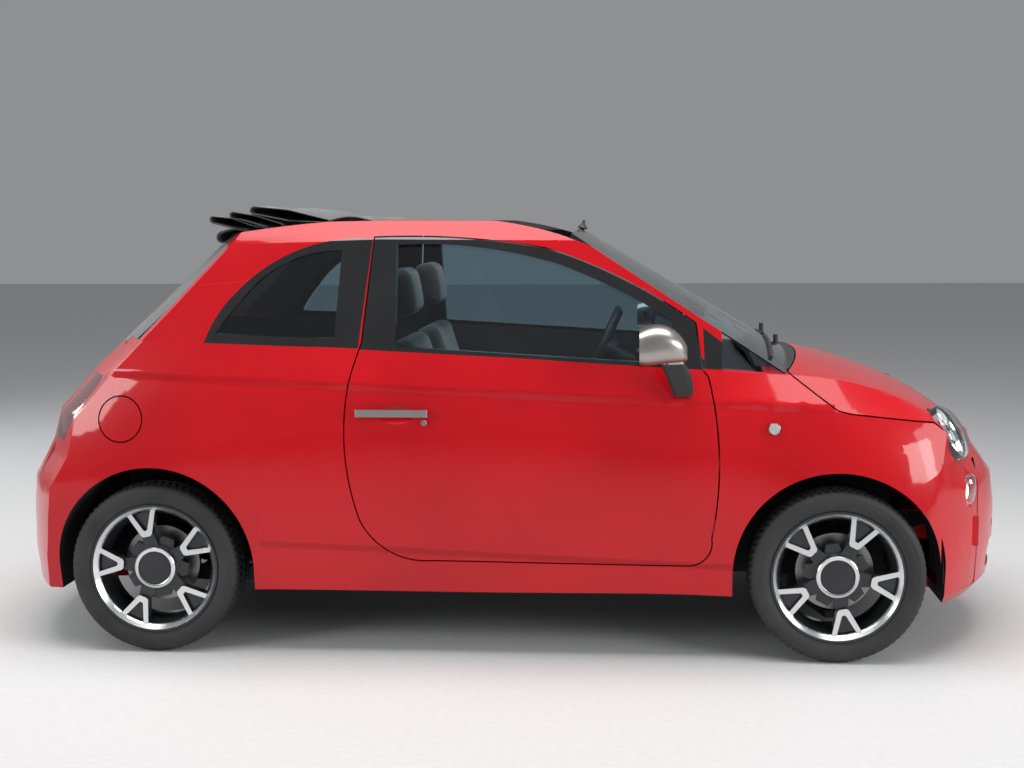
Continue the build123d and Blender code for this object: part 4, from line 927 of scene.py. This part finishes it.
repeaterAt = {"x": 0.921, "y": 0.8005, "z": 0.784, "lean": 0.10, "tilt": 0.14,
              "lens": [(onAxis, 0.006), (0.011, 0.005), (0.018, 0.003), (0.021, -0.001), (0.021, -0.010),
                       (onAxis, -0.010)],
              "bulb": [(onAxis, 0.0), (0.016, -0.001), (0.017, -0.004), (onAxis, -0.004)]}
doorLock = {"x": -0.232, "y": 0.8175, "z": 0.800, "tilt": 0.05,
            "outline": [(onAxis, 0.002), (0.008, 0.002), (0.010, 0.0), (0.010, -0.004), (onAxis, -0.004)]}
# boxes on both sides: size, place on the left, material, whether on the door, bevel, turn on the left
sideBoxes = {"armRest": ((0.46, 0.055, 0.05), (0.06, 0.668, 0.70), doorCard, True, 0.02, (0, 0, 0)),
             "doorPull": ((0.12, 0.02, 0.03), (0.30, 0.680, 0.84), satinTitanium, True, 0.008, (0, 0, 0)),
             "beltStrap": ((0.048, 0.003, 0.62), (-0.43, 0.545, 0.90), linerFelt, False, 0.001, (6, 4, 0)),
             "beltBuckle": ((0.05, 0.02, 0.07), (-0.16, 0.10, 0.50), blackPlastic, False, 0.006, (0, 0, 0))}
for side, sign in (("right", -1), ("left", 1)):
    place = (repeaterAt["x"], sign * repeaterAt["y"], repeaterAt["z"])
    facing = (repeaterAt["lean"], sign, repeaterAt["tilt"])
    turned("repeater_" + side, repeaterAt["lens"], place, facing, lampGlass, "body", 36)
    turned("repeaterBulb_" + side, repeaterAt["bulb"], place, facing, lampWhite, "body", 24)
    turned("doorLock_" + side, doorLock["outline"], (doorLock["x"], sign * doorLock["y"], doorLock["z"]),
           (0, sign, doorLock["tilt"]), satinTitanium, "door_" + side, 24)
    for name, (size, place, mat, onDoor, bevel, turn) in sideBoxes.items():
        spot = (place[0], sign * place[1], place[2])
        roundedBox(name + "_" + side, size, spot, mat, "door_" + side if onDoor else "body", bevel,
                   (sign * turn[0], turn[1], turn[2]))
print("trim added")


# ---- floor, light, camera
bpy.ops.mesh.primitive_plane_add(size=60)
floor = bpy.context.object
floor.name = "studioFloor"
floorMat, tree, shader = newMaterial("studioFloor")
grain = objectNoise(tree, 40, 4)
ramp = colourRamp(tree, [(0.3, (0.60, 0.60, 0.60)), (0.7, (0.64, 0.64, 0.64))])
tree.links.new(grain.outputs["Fac"], ramp.inputs["Fac"])
tree.links.new(ramp.outputs["Color"], shader.inputs["Base Color"])
shader.inputs["Roughness"].default_value = 0.7
floor.data.materials.append(floorMat)

world = bpy.data.worlds.new("studio")
scene.world = world
world.use_nodes = True
world.node_tree.nodes["Background"].inputs["Color"].default_value = (0.80, 0.82, 0.85, 1)
world.node_tree.nodes["Background"].inputs["Strength"].default_value = 0.34


def softBoxLight(name, place, aim, size, power):
    data = bpy.data.lights.new(name, "AREA")
    data.shape = "RECTANGLE"
    data.size, data.size_y = size
    data.energy = power
    obj = bpy.data.objects.new(name, data)
    scene.collection.objects.link(obj)
    obj.location = place
    obj.rotation_euler = (Vector(aim) - Vector(place)).to_track_quat("-Z", "Y").to_euler()
    return obj


softBoxLight("overhead", (0, -0.6, 5.2), (0, 0, 0.5), (6.5, 3.4), 330)
softBoxLight("sideFillRear", (-6.4, -5.4, 3.0), (-0.7, -0.6, 0.6), (2.6, 2.4), 190)
softBoxLight("sideFillNose", (6.9, -5.0, 3.0), (0.7, -0.6, 0.6), (2.6, 2.4), 190)
softBoxLight("noseFill", (6.2, -2.4, 2.6), (0.8, 0, 0.6), (3.0, 2.4), 110)
softBoxLight("tailFill", (-6.2, 2.4, 2.8), (-0.8, 0, 0.7), (3.0, 2.4), 110)

camera = bpy.data.cameras.new("camera")
camera.lens = 53.7
camera.sensor_width = 36
cameraObj = bpy.data.objects.new("camera", camera)
scene.collection.objects.link(cameraObj)
cameraPlace = {"at": (0.4495, -5.792, 1.464), "yaw": -0.0777, "pitch": -0.1065, "roll": -0.0043}
yaw, pitch = cameraPlace["yaw"], cameraPlace["pitch"]
forward = Vector((math.sin(yaw) * math.cos(pitch), math.cos(yaw) * math.cos(pitch), math.sin(pitch)))
cameraObj.location = cameraPlace["at"]
look = forward.to_track_quat("-Z", "Y").to_matrix() @ Matrix.Rotation(cameraPlace["roll"], 3, "Z")
cameraObj.rotation_euler = look.to_euler()
scene.camera = cameraObj
scene.view_settings.view_transform = "Standard"
